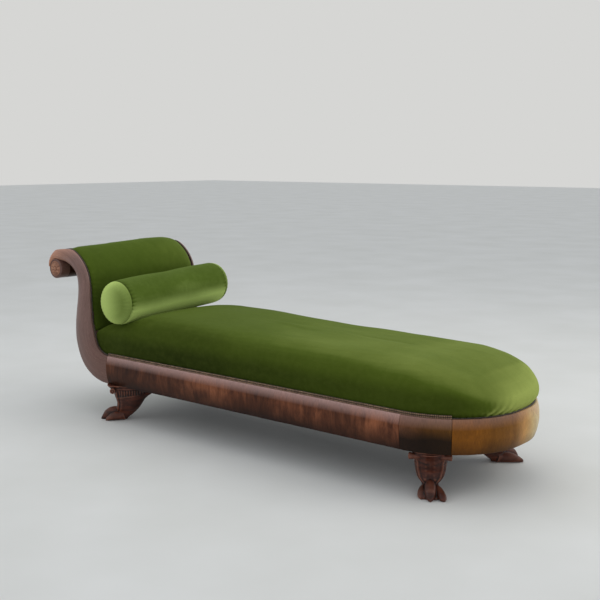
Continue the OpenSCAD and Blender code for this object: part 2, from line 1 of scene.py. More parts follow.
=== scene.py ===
import bpy
import math
import numpy as np
from mathutils import Matrix, Vector


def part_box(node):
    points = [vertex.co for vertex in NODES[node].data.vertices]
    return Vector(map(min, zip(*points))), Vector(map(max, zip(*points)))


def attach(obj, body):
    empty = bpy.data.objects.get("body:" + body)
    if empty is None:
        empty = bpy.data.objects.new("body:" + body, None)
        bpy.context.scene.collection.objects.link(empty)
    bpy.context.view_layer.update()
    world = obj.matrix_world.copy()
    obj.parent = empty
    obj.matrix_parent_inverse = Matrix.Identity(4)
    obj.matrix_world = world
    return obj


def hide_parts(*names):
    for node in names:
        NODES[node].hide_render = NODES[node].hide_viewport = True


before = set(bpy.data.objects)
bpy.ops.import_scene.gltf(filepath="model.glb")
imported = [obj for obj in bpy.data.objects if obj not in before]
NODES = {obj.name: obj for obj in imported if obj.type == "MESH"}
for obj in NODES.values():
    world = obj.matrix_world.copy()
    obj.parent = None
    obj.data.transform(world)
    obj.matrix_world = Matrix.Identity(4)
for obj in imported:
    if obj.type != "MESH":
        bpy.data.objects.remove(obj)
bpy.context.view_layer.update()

MM = 0.001

# Sizes of the daybed, in millimetres, and angles in degrees, as in the part's source
BODY_W = 604.0
RAIL_LEN = 1391.0
HEAD_REACH = 351.0
FOOT_RISE = 277.0
FOOT_BOW_R = 1009.0
CREST_H = 673.0
LEG_H = 146.0
RAIL_H = 112.0
RAIL_T = 48.0
FACE_LOW = 12.0
FACE_TOP = 8.0
LIP_T = 6.0
LIP_H = 8.0
CORNER_ANGLE = 35.0
ARM_T = 48.0
VOLUTE_R = 40.0
VOLUTE_DROP = 87.0
SCROLL_RISE = 39.0
ROSETTE_R = 31.0
ROSETTE_H = 6.0
LEG_IN = 62.0
LEG_HEAD_X = 40.0
LEG_HEAD_TURN = 135.0
LEG_FOOT_IN = 90.0
LEG_FOOT_TURN = 60.0
LEG_DEPTH = 206.0
LEG_W = 102.0
LEG_SCROLL_R = 10.0
LEG_SCROLL_OUT = 14.0
SEAT_CROWN_H = 415.0
SEAT_DIP = 24.0
SEAT_FOOT_FALL = 80.0
SEAT_SWELL = 9.0
HEAD_PAD_T = 34.0
HEAD_SWELL = 3.0
BOLSTER_R = 88.0
BOLSTER_IN = 22.0
BOLSTER_CAP = 13.0
BOLSTER_X = 35.0
BOLSTER_TURN = 3.0
FIT_GAP = 0.3
SEAM_GAP = 0.5
GIMP_W = 6.0
RAIL_GIMP_UP = 11.0
HESSIAN_T = 1.5
REBATE_W = 22.0
REBATE_H = 4.8

HALF_W = BODY_W / 2
BOLSTER_LEN = BODY_W - 2 * BOLSTER_IN
JOINT_X = HEAD_REACH - (HEAD_REACH + RAIL_LEN + FOOT_RISE) / 2
FOOT_X = JOINT_X + RAIL_LEN
RAIL_TOP = LEG_H + RAIL_H
STEP_TOP = RAIL_TOP - LIP_H
SIDE_R = ((2 * FOOT_RISE * FOOT_BOW_R - HALF_W ** 2 - FOOT_RISE ** 2)
          / (2 * (FOOT_BOW_R - HALF_W)))
SIDE_Y = HALF_W - SIDE_R
BOW_X = FOOT_RISE - FOOT_BOW_R
BOW_HALF = math.atan2(SIDE_Y, -BOW_X)
SIDE_ANGLE = math.pi / 2 - BOW_HALF
SIDE_LEN = SIDE_R * SIDE_ANGLE
BOW_LEN = FOOT_BOW_R * 2 * BOW_HALF
FOOT_LEN = 2 * SIDE_LEN + BOW_LEN
CORNER_LEN = SIDE_R * math.radians(CORNER_ANGLE)

# The rounded face of the wood: where it is fullest, how it falls away, and its steps
FACE_PEAK = 0.58
FACE_POWER = 2.2
FACE_STEPS = 26
# Heart of the scroll, in x and z
EYE = np.array([JOINT_X - HEAD_REACH + VOLUTE_R, CREST_H - VOLUTE_DROP])


# ---- The camera stands where the photograph was taken ----

CAMERA_PLACE = (2.35009, -2.72893, 1.03686)
CAMERA_DOWN = 8.2987
CAMERA_TURN = 39.6285
SENSOR_WIDTH = 36
LENS = 58.496


def placed(name, data):
    """An object of its own for a mesh, a lamp or the camera."""
    obj = bpy.data.objects.new(name, data)
    bpy.context.scene.collection.objects.link(obj)
    return obj


camera = placed("camera", bpy.data.cameras.new("camera"))
camera.location = CAMERA_PLACE
camera.rotation_euler = (math.radians(90 - CAMERA_DOWN), 0, math.radians(CAMERA_TURN))
camera.data.sensor_width = SENSOR_WIDTH
camera.data.lens = LENS
bpy.context.scene.camera = camera
bpy.context.scene.view_settings.view_transform = "Standard"


# ---- Curves and sections that the pieces share ----

def spline(points, steps):
    """Smooth curve through the points, with a number of steps between neighbours."""
    p = np.asarray(points, float)
    last = len(p) - 1
    t = np.arange(steps)[:, None] / steps
    out = []
    for i in range(last):
        a, b, c, d = p[max(i - 1, 0)], p[i], p[i + 1], p[min(i + 2, last)]
        out.append(0.5 * (2 * b + (c - a) * t + (2 * a - 5 * b + 4 * c - d) * t ** 2
                          + (3 * b - a - 3 * c + d) * t ** 3))
    return np.vstack(out + [p[-1:]])


def smooth_step(x, low, high):
    """0 below low, 1 above high and a soft change between them."""
    t = np.clip((x - low) / (high - low), 0, 1)
    return t * t * (3 - 2 * t)


def mound(x, at, width):
    """A soft bump of height 1 at a place, with a width."""
    return np.exp(-((x - at) / width) ** 2)


def circle(count):
    """Angles evenly round a circle."""
    return np.arange(count) * 2 * math.pi / count


def lengths(points):
    """Length along a line of points up to each of them."""
    steps = np.linalg.norm(np.diff(np.asarray(points, float), axis=0), axis=1)
    return np.concatenate([[0], np.cumsum(steps)])


def face_in(t):
    """How far the rounded wooden face lies behind its fullest line."""
    t = np.asarray(t, float)
    low = FACE_LOW * np.maximum((FACE_PEAK - t) / FACE_PEAK, 0) ** FACE_POWER
    top = FACE_TOP * np.maximum((t - FACE_PEAK) / (1 - FACE_PEAK), 0) ** FACE_POWER
    return low + top


def rail_section():
    """Depths and heights round a rail."""
    t = np.arange(FACE_STEPS + 1) / FACE_STEPS
    face = np.column_stack([face_in(t), LEG_H + t * RAIL_H])
    lip, rebate = FACE_TOP + LIP_T, RAIL_T - REBATE_W
    back = [[lip, RAIL_TOP], [lip, STEP_TOP], [RAIL_T, STEP_TOP], [RAIL_T, LEG_H + REBATE_H],
            [rebate, LEG_H + REBATE_H], [rebate, LEG_H]]
    return np.vstack([face, back])


# The arm's two edges in its side view, as shares of its reach and of its height
ARM_BACK = [(0, 0), (0.11, 0.004), (0.235, 0.025), (0.346, 0.063), (0.443, 0.12), (0.515, 0.2),
            (0.562, 0.309), (0.562, 0.424), (0.54, 0.529), (0.512, 0.624), (0.499, 0.71),
            (0.51, 0.777), (0.548, 0.828), (0.615, 0.866), (0.693, 0.891), (0.77, 0.901)]
ARM_FRONT = [(0, 0), (0.078, 0.015), (0.144, 0.044), (0.191, 0.091), (0.222, 0.152),
             (0.247, 0.225), (0.266, 0.309), (0.274, 0.395), (0.28, 0.48), (0.285, 0.571),
             (0.291, 0.652), (0.307, 0.738), (0.343, 0.811), (0.41, 0.887), (0.512, 0.956),
             (0.632, 0.993)]
# Steps between two points of an edge, and the points where the headrest and the crest start
ARM_STEPS = 10
HEAD_KNOT = 5
CREST_KNOT = 15
# The scroll's end round its eye, in degrees, its points, and how fast it closes in
SCROLL_FROM, SCROLL_TO, SCROLL_POINTS, SCROLL_POWER = 82, 170, 4, 1.2
# The point at which the step behind the arm's lip is at its least
STEP_END = 17


def arm_edge(shares, base, radius):
    """One edge of the arm's side view, in x and z, from the rail joint to the eye."""
    points = [(JOINT_X - a * HEAD_REACH, base + b * (CREST_H - base)) for a, b in shares]
    for k in range(SCROLL_POINTS + 1):
        share = k / SCROLL_POINTS
        a = math.radians(SCROLL_FROM + share * (SCROLL_TO - SCROLL_FROM))
        points.append(EYE + radius(share) * np.array([math.cos(a), math.sin(a)]))
    return spline(points, ARM_STEPS)


arm_back = arm_edge(ARM_BACK, LEG_H, lambda s: VOLUTE_R - 2)
arm_front = arm_edge(ARM_FRONT, RAIL_TOP,
                     lambda s: VOLUTE_R + 0.5 + SCROLL_RISE * (1 - s) ** SCROLL_POWER)
arm_width = np.linalg.norm(arm_back - arm_front, axis=1)
ARM_LAST = len(arm_back) - 1


def arm_at(i, depth):
    """A point of the arm's side view, at a depth below its front edge."""
    i = int(i)
    return arm_front[i] + depth * (arm_back[i] - arm_front[i]) / arm_width[i]


def arm_step(i):
    """Depth of the step for the pad's edge behind the arm's lip; it fades out at the scroll."""
    knots_left = (STEP_END - i / ARM_STEPS) * 2
    return min(LIP_H, arm_width[int(i)] * 0.2) * min(1, max(1 / LIP_H, knots_left / 4))


def arm_ring(i, outline):
    """Points across the head at a step of the arm's edge, from their y and their depth."""
    ring = []
    for y, depth in outline:
        x, z = arm_at(i, depth)
        ring.append((x, y, z))
    return ring


def foot_frame(s):
    """Point on the outer face of the foot end, and its outward direction, at a length s."""
    if s < SIDE_LEN:
        a = -math.pi / 2 + s / SIDE_R
        centre, radius = np.array([FOOT_X, -SIDE_Y]), SIDE_R
    elif s < SIDE_LEN + BOW_LEN:
        a = -BOW_HALF + (s - SIDE_LEN) / FOOT_BOW_R
        centre, radius = np.array([FOOT_X + BOW_X, 0.0]), FOOT_BOW_R
    else:
        a = BOW_HALF + (s - SIDE_LEN - BOW_LEN) / SIDE_R
        centre, radius = np.array([FOOT_X, SIDE_Y]), SIDE_R
    out = np.array([math.cos(a), math.sin(a)])
    return centre + radius * out, out


def round_foot(stations, inset):
    """Points in plan that go round the foot end, behind its outer face."""
    return [tuple(point - inset * out) for point, out in map(foot_frame, stations)]


# ---- Mesh making ----

SIDES = ("near", "far")
# An edge of the wood sharper than this, in degrees, shows as an edge; one a little sharper
# is rounded, in millimetres
WOOD_EDGE = 35
ROUND_EDGE, ROUND_R = 38, 1.0
TRIM_EDGE = 60


def make_object(name, points, faces, uv=None, sharp=None):
    """A mesh object at the origin, from points in millimetres, with its faces outwards."""
    points = np.asarray(points, float) * MM
    mesh = bpy.data.meshes.new(name)
    mesh.from_pydata([tuple(p) for p in points], [], [tuple(f) for f in faces])
    if uv is not None:
        layer = mesh.uv_layers.new(name="Run")
        layer.data.foreach_set("uv", np.asarray(uv, np.float32).ravel())
    mesh.update()
    if signed_volume(mesh) < 0:
        mesh.flip_normals()
    shade_smooth(mesh)
    if sharp:
        mesh.set_sharp_from_angle(angle=math.radians(sharp))
    return placed(name, mesh)


def shade_smooth(mesh):
    mesh.polygons.foreach_set("use_smooth", [True] * len(mesh.polygons))


def signed_volume(mesh):
    """Volume inside a closed mesh, below zero where its faces point inwards."""
    mesh.calc_loop_triangles()
    index = np.zeros(len(mesh.loop_triangles) * 3, np.int32)
    mesh.loop_triangles.foreach_get("vertices", index)
    co = coordinates(mesh)
    a, b, c = (co[index.reshape(-1, 3)[:, k]] for k in range(3))
    return float(np.einsum("ij,ij->", a, np.cross(b, c))) / 6


def coordinates(mesh):
    co = np.zeros(len(mesh.vertices) * 3)
    mesh.vertices.foreach_get("co", co)
    return co.reshape(-1, 3)


def vertex_normals(mesh):
    normals = np.zeros(len(mesh.vertices) * 3)
    mesh.vertices.foreach_get("normal", normals)
    return normals.reshape(-1, 3)


def skin(rings, u, v):
    """Closed skin of quads through rings of points: points, faces and a UV for each corner."""
    rings = np.asarray(rings, float)
    rows, n = rings.shape[:2]
    v = np.broadcast_to(np.asarray(v, float), (rows, n + 1))
    faces, uv = [], []
    for r in range(rows - 1):
        for c in range(n):
            d = (c + 1) % n
            faces.append((r * n + c, r * n + d, (r + 1) * n + d, (r + 1) * n + c))
            uv += [(u[r], v[r, c]), (u[r], v[r, c + 1]), (u[r + 1], v[r + 1, c + 1]),
                   (u[r + 1], v[r + 1, c])]
    faces.append(tuple(range(n))[::-1])
    uv += [(u[0], v[0, c]) for c in range(n)][::-1]
    faces.append(tuple((rows - 1) * n + c for c in range(n)))
    uv += [(u[-1], v[-1, c]) for c in range(n)]
    return rings.reshape(-1, 3), faces, uv


def plain_skin(rings):
    """A skin whose finish doesn't follow its run."""
    return skin(rings, np.arange(len(rings)), np.zeros(len(rings[0]) + 1))


def girth(section):
    """Length round a closed section up to each of its points and the whole, in metres."""
    return lengths([*section, section[0]]) * MM


def swept(section, stations, foot=True):
    """A moulding of depths and heights that runs round the foot end or along a rail."""
    rings = []
    for s in stations:
        if foot:
            point, out = foot_frame(s)
            rings.append([(*(point - d * out), z) for d, z in section])
        else:
            rings.append([(s, d - HALF_W, z) for d, z in section])
    return skin(rings, stations * MM, girth(section))


def joined(parts):
    """Several (points, faces, uv) as one."""
    points, faces, uv = [], [], []
    for p, f, t in parts:
        first = sum(len(q) for q in points)
        points.append(np.asarray(p, float))
        faces += [tuple(first + k for k in face) for face in f]
        uv += list(t)
    return np.vstack(points), faces, uv


def on_side(side, made):
    """The piece as it was made for the near side, or mirrored to the far one."""
    points, faces, uv = made
    points = np.array(points)
    if side == "far":
        points[:, 1] *= -1
    return points, faces, uv


def lathe(profile, sides, place):
    """A turned form from radii and heights; place sets its own (x, y, height) in the frame."""
    rings = [[place(r * math.cos(a), r * math.sin(a), h) for a in circle(sides)]
             for r, h in profile]
    round_it = np.linspace(0, 2 * math.pi * 0.04, sides + 1)
    return skin(rings, lengths(profile) * MM, round_it)


def soften(obj):
    """Rounds the sharp edges of a wooden piece, as sanding does."""
    bevel = obj.modifiers.new("soft_edges", "BEVEL")
    bevel.width = ROUND_R * MM
    bevel.segments = 2
    bevel.limit_method = "ANGLE"
    bevel.angle_limit = math.radians(ROUND_EDGE)
    bevel.harden_normals = False
    return obj


def baked(obj, name=None):
    """The object's evaluated mesh as a plain object in its place."""
    graph = bpy.context.evaluated_depsgraph_get()
    mesh = bpy.data.meshes.new_from_object(obj.evaluated_get(graph), depsgraph=graph)
    name = name or obj.name
    old = obj.data
    bpy.data.objects.remove(obj)
    if old.users == 0:
        bpy.data.meshes.remove(old)
    mesh.name = name
    return placed(name, mesh)


def dress(obj, material, body="frame", replaces=()):
    """Gives a finished piece its material, its body and the CAD nodes that it stands for."""
    obj.data.materials.clear()
    obj.data.materials.append(material)
    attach(obj, body)
    if replaces:
        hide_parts(*replaces)


# ---- Materials ----

def tint(r, g, b):
    """A colour as it is seen on a screen, 0 to 255, for a shader socket."""
    def linear(c):
        c = c / 255
        return c / 12.92 if c <= 0.04045 else ((c + 0.055) / 1.055) ** 2.4
    return (linear(r), linear(g), linear(b), 1.0)


def grey(v):
    return (v, v, v, 1.0)


class Finish:
    """Builds one procedural material on Blender's own shader, node by node."""

    def __init__(self, name):
        self.material = bpy.data.materials.new(name)
        self.material.use_nodes = True
        self.tree = self.material.node_tree
        self.shader = self.tree.nodes["Principled BSDF"]

    def add(self, kind, inputs=None, **settings):
        """A node, fed with numbers, colours and the outputs of others."""
        node = self.tree.nodes.new("ShaderNode" + kind)
        for key, value in settings.items():
            setattr(node, key, value)
        for key, value in (inputs or {}).items():
            self.feed(node.inputs[key], value)
        return node

    def feed(self, socket, value):
        if isinstance(value, bpy.types.NodeSocket):
            self.tree.links.new(value, socket)
        else:
            socket.default_value = value

    def coords(self, kind="Object", scale=(1, 1, 1), turn=(0, 0, 0), shift=None):
        out = self.add("TexCoord").outputs[kind]
        if shift is not None:
            out = self.add("VectorMath", {0: out, 1: shift}, operation="ADD").outputs[0]
        return self.add("Mapping", {"Vector": out, "Scale": scale,
                                    "Rotation": [math.radians(a) for a in turn]}).outputs[0]

    def noise(self, vector, scale=1.0, detail=4.0, rough=0.55, warp=0.0):
        return self.add("TexNoise", {"Vector": vector, "Scale": scale, "Detail": detail,
                                     "Roughness": rough, "Distortion": warp}).outputs[0]

    def wave(self, vector, scale, warp=0.0, direction="X"):
        return self.add("TexWave", {"Vector": vector, "Scale": scale, "Distortion": warp,
                                    "Detail": 1.0}, bands_direction=direction).outputs[1]

    def maths(self, operation, a, b=0.0):
        return self.add("Math", {0: a, 1: b}, operation=operation).outputs[0]

    def span(self, value, low, high, to_low=0.0, to_high=1.0):
        return self.add("MapRange", {"Value": value, "From Min": low, "From Max": high,
                                     "To Min": to_low, "To Max": to_high}).outputs[0]

    def ramp(self, value, stops, interpolation="LINEAR"):
        """Colours at places from 0 to 1."""
        node = self.add("ValToRGB", {"Fac": value})
        node.color_ramp.interpolation = interpolation
        while len(node.color_ramp.elements) < len(stops):
            node.color_ramp.elements.new(0.5)
        for element, (place, colour) in zip(node.color_ramp.elements, stops):
            element.position = place
            element.color = colour
        return node.outputs[0]

    def mix(self, share, a, b, blend="MIX"):
        node = self.add("Mix", data_type="RGBA", blend_type=blend)
        self.feed(node.inputs[0], share)
        self.feed(node.inputs[6], a)
        self.feed(node.inputs[7], b)
        return node.outputs[2]

    def bump(self, height, strength, distance, below=None):
        inputs = {"Height": height, "Strength": strength, "Distance": distance}
        if below is not None:
            inputs["Normal"] = below
        return self.add("Bump", inputs).outputs[0]

    def set(self, **inputs):
        """Feeds the shader: a constant goes on its socket, and a node's output is linked."""
        for key, value in inputs.items():
            self.feed(self.shader.inputs[key.replace("_", " ")], value)


# Veneer: shares of its figure and streaks, how far a sheet's tone moves them, how fine the
# pores are along and upright, and the heights, in metres of face, and the colour of the
# painted reflection along its top
FIGURE_SHARE, STREAK_SHARE = 0.62, 0.38
TONE_REACH = 0.14
PORES_ALONG, PORES_UPRIGHT = (60, 1500, 1), (1500, 60, 1)
PAINTED_REFLECTION_FROM, PAINTED_REFLECTION_TO = 0.08, 0.116
PAINTED_REFLECTION_TONE = tint(200, 164, 156)


def veneer(name, dark, middle, light, sheets, length, stretch, fine,
           bloom=0.15, patch=0.5, tones=(), low=None, painted_reflection=0.0):
    """Polished figured veneer on the Run map.

    sheets and tones give its tone and its colour along the run, between the two lengths;
    stretch sizes the figure, and fine says how much finer the streaks are; patch is the
    share of its dark clouds, low the height up to which it is darkened as painted shade, and
    the last argument the share of a painted reflection along its top.
    """
    f = Finish(name)
    apart = f.add("SeparateXYZ", {0: f.add("TexCoord").outputs["UV"]})
    along = f.span(apart.outputs[0], length[0], length[1])
    tone = f.ramp(along, [(place, grey(value)) for place, value in sheets], "EASE")
    tone_value = f.add("RGBToBW", {0: tone}).outputs[0]
    figure = f.noise(f.coords("UV", (stretch[0], stretch[1], 1)), 1.0, 5.0, 0.62, 1.1)
    streak = f.noise(f.coords("UV", (stretch[0] * fine[0], stretch[1] * fine[1], 1)),
                     1.0, 4.0, 0.6, 0.5)
    pores = f.noise(f.coords("UV", PORES_ALONG if fine[1] > fine[0] else PORES_UPRIGHT),
                    1.0, 2.0, 0.5)
    value = f.maths("ADD", f.maths("MULTIPLY", figure, FIGURE_SHARE),
                    f.maths("MULTIPLY", streak, STREAK_SHARE))
    value = f.maths("ADD", value, f.span(tone_value, 0, 1, -TONE_REACH, TONE_REACH))
    colour = f.ramp(value, [(0.3, dark), (0.5, middle), (0.68, light)])
    if tones:
        ground = f.ramp(along, tones)
        figured = f.ramp(value, [(0.28, grey(0.32)), (0.5, grey(0.5)), (0.7, grey(0.72))])
        colour = f.mix(1.0, ground, figured, "OVERLAY")
    cloud = f.noise(f.coords("UV", (3.2, 5.5, 1)), 1.0, 3.0, 0.5, 0.6)
    shade = f.ramp(cloud, [(0.4, grey(0)), (0.62, grey(1))])
    shade = f.add("RGBToBW", {0: shade}).outputs[0]
    colour = f.mix(f.maths("MULTIPLY", shade, patch), colour, dark, "MIX")
    # Painted shade: darker towards the bottom of the face, up to the height low
    if low:
        wander = f.span(cloud, 0.3, 0.7, -0.018, 0.018)
        height = f.maths("ADD", apart.outputs[1], wander)
        colour = f.mix(f.span(height, low[0], low[1], 0.92, 0.0), colour, dark)
    # Painted reflection: a lighter tone along the top of the face, as polish would reflect the
    # room
    if painted_reflection:
        colour = f.mix(f.span(apart.outputs[1], PAINTED_REFLECTION_FROM, PAINTED_REFLECTION_TO, 0.0, painted_reflection), colour,
                       PAINTED_REFLECTION_TONE)
    colour = f.mix(f.span(pores, 0.35, 0.6, 0.35, 0.0), colour, dark, "MULTIPLY")
    wear = f.noise(f.coords("Object", (9, 9, 9)), 1.0, 4.0, 0.6)
    uneven = f.noise(f.coords("Object", (14, 14, 14)), 1.0, 2.0, 0.5)
    f.set(Base_Color=colour, Roughness=f.span(wear, 0.3, 0.7, 0.3, 0.46),
          Normal=f.bump(uneven, 0.10, 0.004, f.bump(pores, 0.12, 0.0004)),
          Coat_Weight=bloom, Coat_Roughness=0.2, Specular_IOR_Level=0.1)
    return f.material


def carved_wood(name, low, middle, high):
    """Carved wood: a vertex attribute paints a highlight on its edges and shade in its hollows.
    """
    f = Finish(name)
    body = f.noise(f.coords("Object", (18, 18, 60)), 1.0, 5.0, 0.6, 0.8)
    colour = f.ramp(body, [(0.32, low), (0.5, middle), (0.72, high)])
    painted_relief_shading = f.add("Attribute", attribute_name="painted_relief_shading").outputs["Fac"]
    # Painted highlight on the carving's edges, and painted shade in its hollows
    colour = f.mix(f.span(painted_relief_shading, 0.52, 0.82, 0.0, 0.6), colour, tint(142, 90, 68))
    colour = f.mix(f.span(painted_relief_shading, 0.48, 0.15, 0.0, 0.9), colour, tint(17, 8, 6))
    grain = f.noise(f.coords("Object", (90, 90, 500)), 1.0, 3.0, 0.6)
    rough = f.span(f.noise(f.coords("Object", (25, 25, 25)), 1.0, 3.0), 0.3, 0.7, 0.32, 0.55)
    f.set(Base_Color=colour, Roughness=rough, Normal=f.bump(grain, 0.2, 0.0006),
          Coat_Weight=0.1, Coat_Roughness=0.22, Specular_IOR_Level=0.3)
    return f.material


def plain_wood():
    """Sawn softwood of the inner frame."""
    f = Finish("sawn_softwood")
    ring = f.noise(f.coords("Object", (3, 40, 40)), 1.0, 4.0, 0.6, 0.6)
    colour = f.ramp(ring, [(0.35, tint(150, 112, 70)), (0.52, tint(193, 158, 112)),
                           (0.7, tint(214, 184, 140))])
    saw = f.wave(f.coords(), 240.0, 2.0, "X")
    f.set(Base_Color=colour, Roughness=0.78, Normal=f.bump(saw, 0.2, 0.0004))
    return f.material


def velvet(name, deep, middle, pale, shift=0.0):
    """Cut-pile velvet, whose colour runs from deep in painted shade to pale in painted light and
    sheen by a vertex attribute.
    """
    f = Finish(name)
    painted_light = f.add("Attribute", attribute_name="painted_light").outputs["Fac"]
    place = f.coords(shift=(shift, shift, 0))
    drift = f.span(f.noise(place, 2.4, 3.0, 0.5, 0.5), 0.3, 0.7, -0.05, 0.05)
    brushed = f.noise(f.coords("Object", (5, 18, 12), (0, 0, 18)), 1.0, 4.0, 0.55, 0.9)
    value = f.maths("ADD", f.maths("ADD", painted_light, drift), f.span(brushed, 0.3, 0.7, -0.02, 0.02))
    # From deep as painted shade to pale as painted light and sheen
    colour = f.ramp(value, [(0.0, deep), (0.5, middle), (1.0, pale)])
    crush = f.noise(f.coords(), 46.0, 3.0, 0.6, 0.4)
    colour = f.mix(f.span(crush, 0.4, 0.75, 0.0, 0.04), colour, pale)
    pile = f.noise(f.coords(), 900.0, 2.0, 0.6)
    colour = f.mix(f.span(pile, 0.3, 0.7, 0.25, 0.0), colour, deep, "MULTIPLY")
    low = f.bump(crush, 0.1, 0.003)
    f.set(Base_Color=colour, Roughness=0.85, Normal=f.bump(pile, 0.2, 0.0006, low),
          Sheen_Weight=0.2, Sheen_Roughness=0.4, Sheen_Tint=tint(176, 204, 104),
          Specular_IOR_Level=0.08)
    return f.material


def braid_cloth(name, ground, yarn, pitch):
    """Woven trim on the Run map, with slanted threads."""
    f = Finish(name)
    lines = f.wave(f.coords("UV", (1, 1, 1), (0, 0, 38)), pitch, 0.4, "X")
    cross = f.wave(f.coords("UV", (1, 1, 1), (0, 0, -38)), pitch, 0.4, "X")
    weave = f.maths("MAXIMUM", lines, cross)
    soil = f.noise(f.coords("Object", (30, 30, 30)), 1.0, 4.0, 0.6)
    colour = f.mix(f.span(weave, 0.2, 0.8), ground, yarn)
    colour = f.mix(f.span(soil, 0.4, 0.7, 0.0, 0.5), colour, ground)
    f.set(Base_Color=colour, Roughness=0.85, Normal=f.bump(weave, 0.5, 0.0008),
          Sheen_Weight=0.2)
    return f.material


def thread(name, low, high):
    """Twisted yarn of one colour, darker where it is soiled."""
    f = Finish(name)
    soil = f.noise(f.coords("Object", (60, 60, 60)), 1.0, 4.0, 0.6)
    twist = f.wave(f.coords(turn=(35, 25, 40)), 420.0, 0.6)
    colour = f.ramp(soil, [(0.35, low), (0.65, high)])
    f.set(Base_Color=colour, Roughness=0.8, Normal=f.bump(twist, 0.5, 0.0006),
          Sheen_Weight=0.25)
    return f.material


def woven(name, warp_colour, weft_colour, scale, stripe=None):
    """A plain weave on the object's own place, with darker gaps between the yarns."""
    f = Finish(name)
    warp = f.wave(f.coords(), scale, 0.6, "X")
    weft = f.wave(f.coords(), scale, 0.6, "Y")
    over = f.maths("MULTIPLY", warp, weft)
    slub = f.noise(f.coords("Object", (20, 20, 20)), 1.0, 4.0, 0.6)
    colour = f.mix(slub, warp_colour, weft_colour)
    colour = f.mix(f.span(over, 0.0, 0.5, 0.55, 0.0), colour, tint(40, 30, 20), "MULTIPLY")
    if stripe:
        band = f.wave(f.coords(), stripe, 0.0, "Y")
        colour = f.mix(f.span(band, 0.86, 0.9, 0.0, 0.6), colour, tint(120, 60, 44))
    f.set(Base_Color=colour, Roughness=0.9, Normal=f.bump(over, 0.5, 0.0006))
    return f.material


def spring_wire():
    f = Finish("coppered_wire")
    rust = f.noise(f.coords("Object", (70, 70, 70)), 1.0, 5.0, 0.65)
    colour = f.ramp(rust, [(0.35, tint(120, 78, 52)), (0.6, tint(176, 132, 98))])
    f.set(Base_Color=colour, Metallic=0.9, Roughness=f.span(rust, 0.3, 0.7, 0.28, 0.6),
          Normal=f.bump(rust, 0.15, 0.0004))
    return f.material


def tack_metal():
    f = Finish("blued_tack")
    spots = f.noise(f.coords("Object", (200, 200, 200)), 1.0, 3.0)
    f.set(Base_Color=f.ramp(spots, [(0.4, tint(40, 42, 48)), (0.65, tint(86, 84, 84))]),
          Metallic=1.0, Roughness=f.span(spots, 0.3, 0.7, 0.3, 0.5))
    return f.material


# Tone of the sheets of veneer along each rail, from 0 to 1 of its length
RAIL_SHEETS = [(0.0, 0.45), (0.17, 0.3), (0.3, 0.6), (0.455, 0.76), (0.575, 0.3),
               (0.675, 0.5), (0.8, 0.4), (0.94, 0.8)]
FAR_SHEETS = [(0.0, 0.6), (0.2, 0.3), (0.38, 0.7), (0.55, 0.35), (0.74, 0.65), (0.9, 0.28)]
ONE_SHEET = [(0.0, 0.5)]
# How much finer the streaks are than the figure, where it runs along or stands upright
ALONG, UPRIGHT = (1.5, 9.0), (6.0, 1.3)
# On the rails, low paints shade over the lower face and the last entry paints a reflection along
# its top
RAIL_LOOK = {"dark": tint(34, 17, 11), "middle": tint(106, 60, 38), "light": tint(158, 96, 64),
             "length": (JOINT_X * MM, FOOT_X * MM), "stretch": (13.0, 7.0), "fine": UPRIGHT,
             "bloom": 0.08, "low": (0.0, 0.062), "painted_reflection": 0.8}
RAIL_VENEER = {"near": veneer("rail_veneer", sheets=RAIL_SHEETS, **RAIL_LOOK),
               "far": veneer("far_rail_veneer", sheets=FAR_SHEETS, **RAIL_LOOK)}
ARM_TONES = [(0.0, tint(116, 84, 74)), (0.25, tint(124, 96, 88)), (0.65, tint(138, 108, 100)),
             (0.82, tint(184, 134, 110)), (0.95, tint(194, 138, 106))]
ARM_VENEER = veneer("arm_veneer", tint(58, 36, 31), tint(100, 66, 58), tint(140, 96, 82),
                    ONE_SHEET, (0, 0.8), (2.2, 26.0), ALONG, bloom=0.25, patch=0.2,
                    tones=ARM_TONES)
# A darker copy of the veneer for the crest roll: painted shade, as the roll lies in shadow
# between the scrolls
ROLL_VENEER_IN_PAINTED_SHADE = veneer("roll_veneer_painted_shade", tint(24, 13, 9), tint(60, 36, 26), tint(90, 58, 44),
                     ONE_SHEET, (0, 1), (5.0, 12.0), ALONG, bloom=0.1, patch=0.3)
CORNER_TONES = [(0.0, tint(122, 78, 54)), (0.3, tint(108, 68, 40)), (0.5, tint(92, 56, 18)),
                (1.0, tint(104, 66, 20))]
# low paints shade over the lower face, and the last argument a reflection along its top
CORNER_VENEER = veneer("corner_veneer", tint(17, 9, 5), tint(60, 36, 26), tint(96, 62, 40),
                       ONE_SHEET, (0, CORNER_LEN * MM), (12.0, 7.0), UPRIGHT, bloom=0.06,
                       patch=0.2, tones=CORNER_TONES, low=(0.035, 0.085), painted_reflection=0.4)
BOW_TONES = [(0.18, tint(134, 80, 14)), (0.25, tint(136, 82, 18)), (0.33, tint(116, 72, 18)),
             (0.43, tint(126, 82, 30)), (0.5, tint(198, 146, 82)), (0.6, tint(226, 190, 138)),
             (0.72, tint(222, 190, 144)), (0.84, tint(116, 78, 34))]
# low paints shade over the lower face, and the last argument a reflection along its top
BOW_VENEER = veneer("bow_veneer", tint(48, 28, 10), tint(142, 90, 44), tint(184, 130, 72),
                    ONE_SHEET, (0, FOOT_LEN * MM), (12.0, 9.0), UPRIGHT, bloom=0.08,
                    patch=0.25, tones=BOW_TONES, low=(-0.02, 0.045), painted_reflection=0.3)
CARVED = carved_wood("carved_mahogany", tint(40, 17, 10), tint(70, 31, 19), tint(102, 51, 32))
ROSETTE_WOOD = carved_wood("rosette_mahogany", tint(108, 70, 52), tint(150, 104, 80),
                           tint(182, 134, 106))
SOFTWOOD = plain_wood()
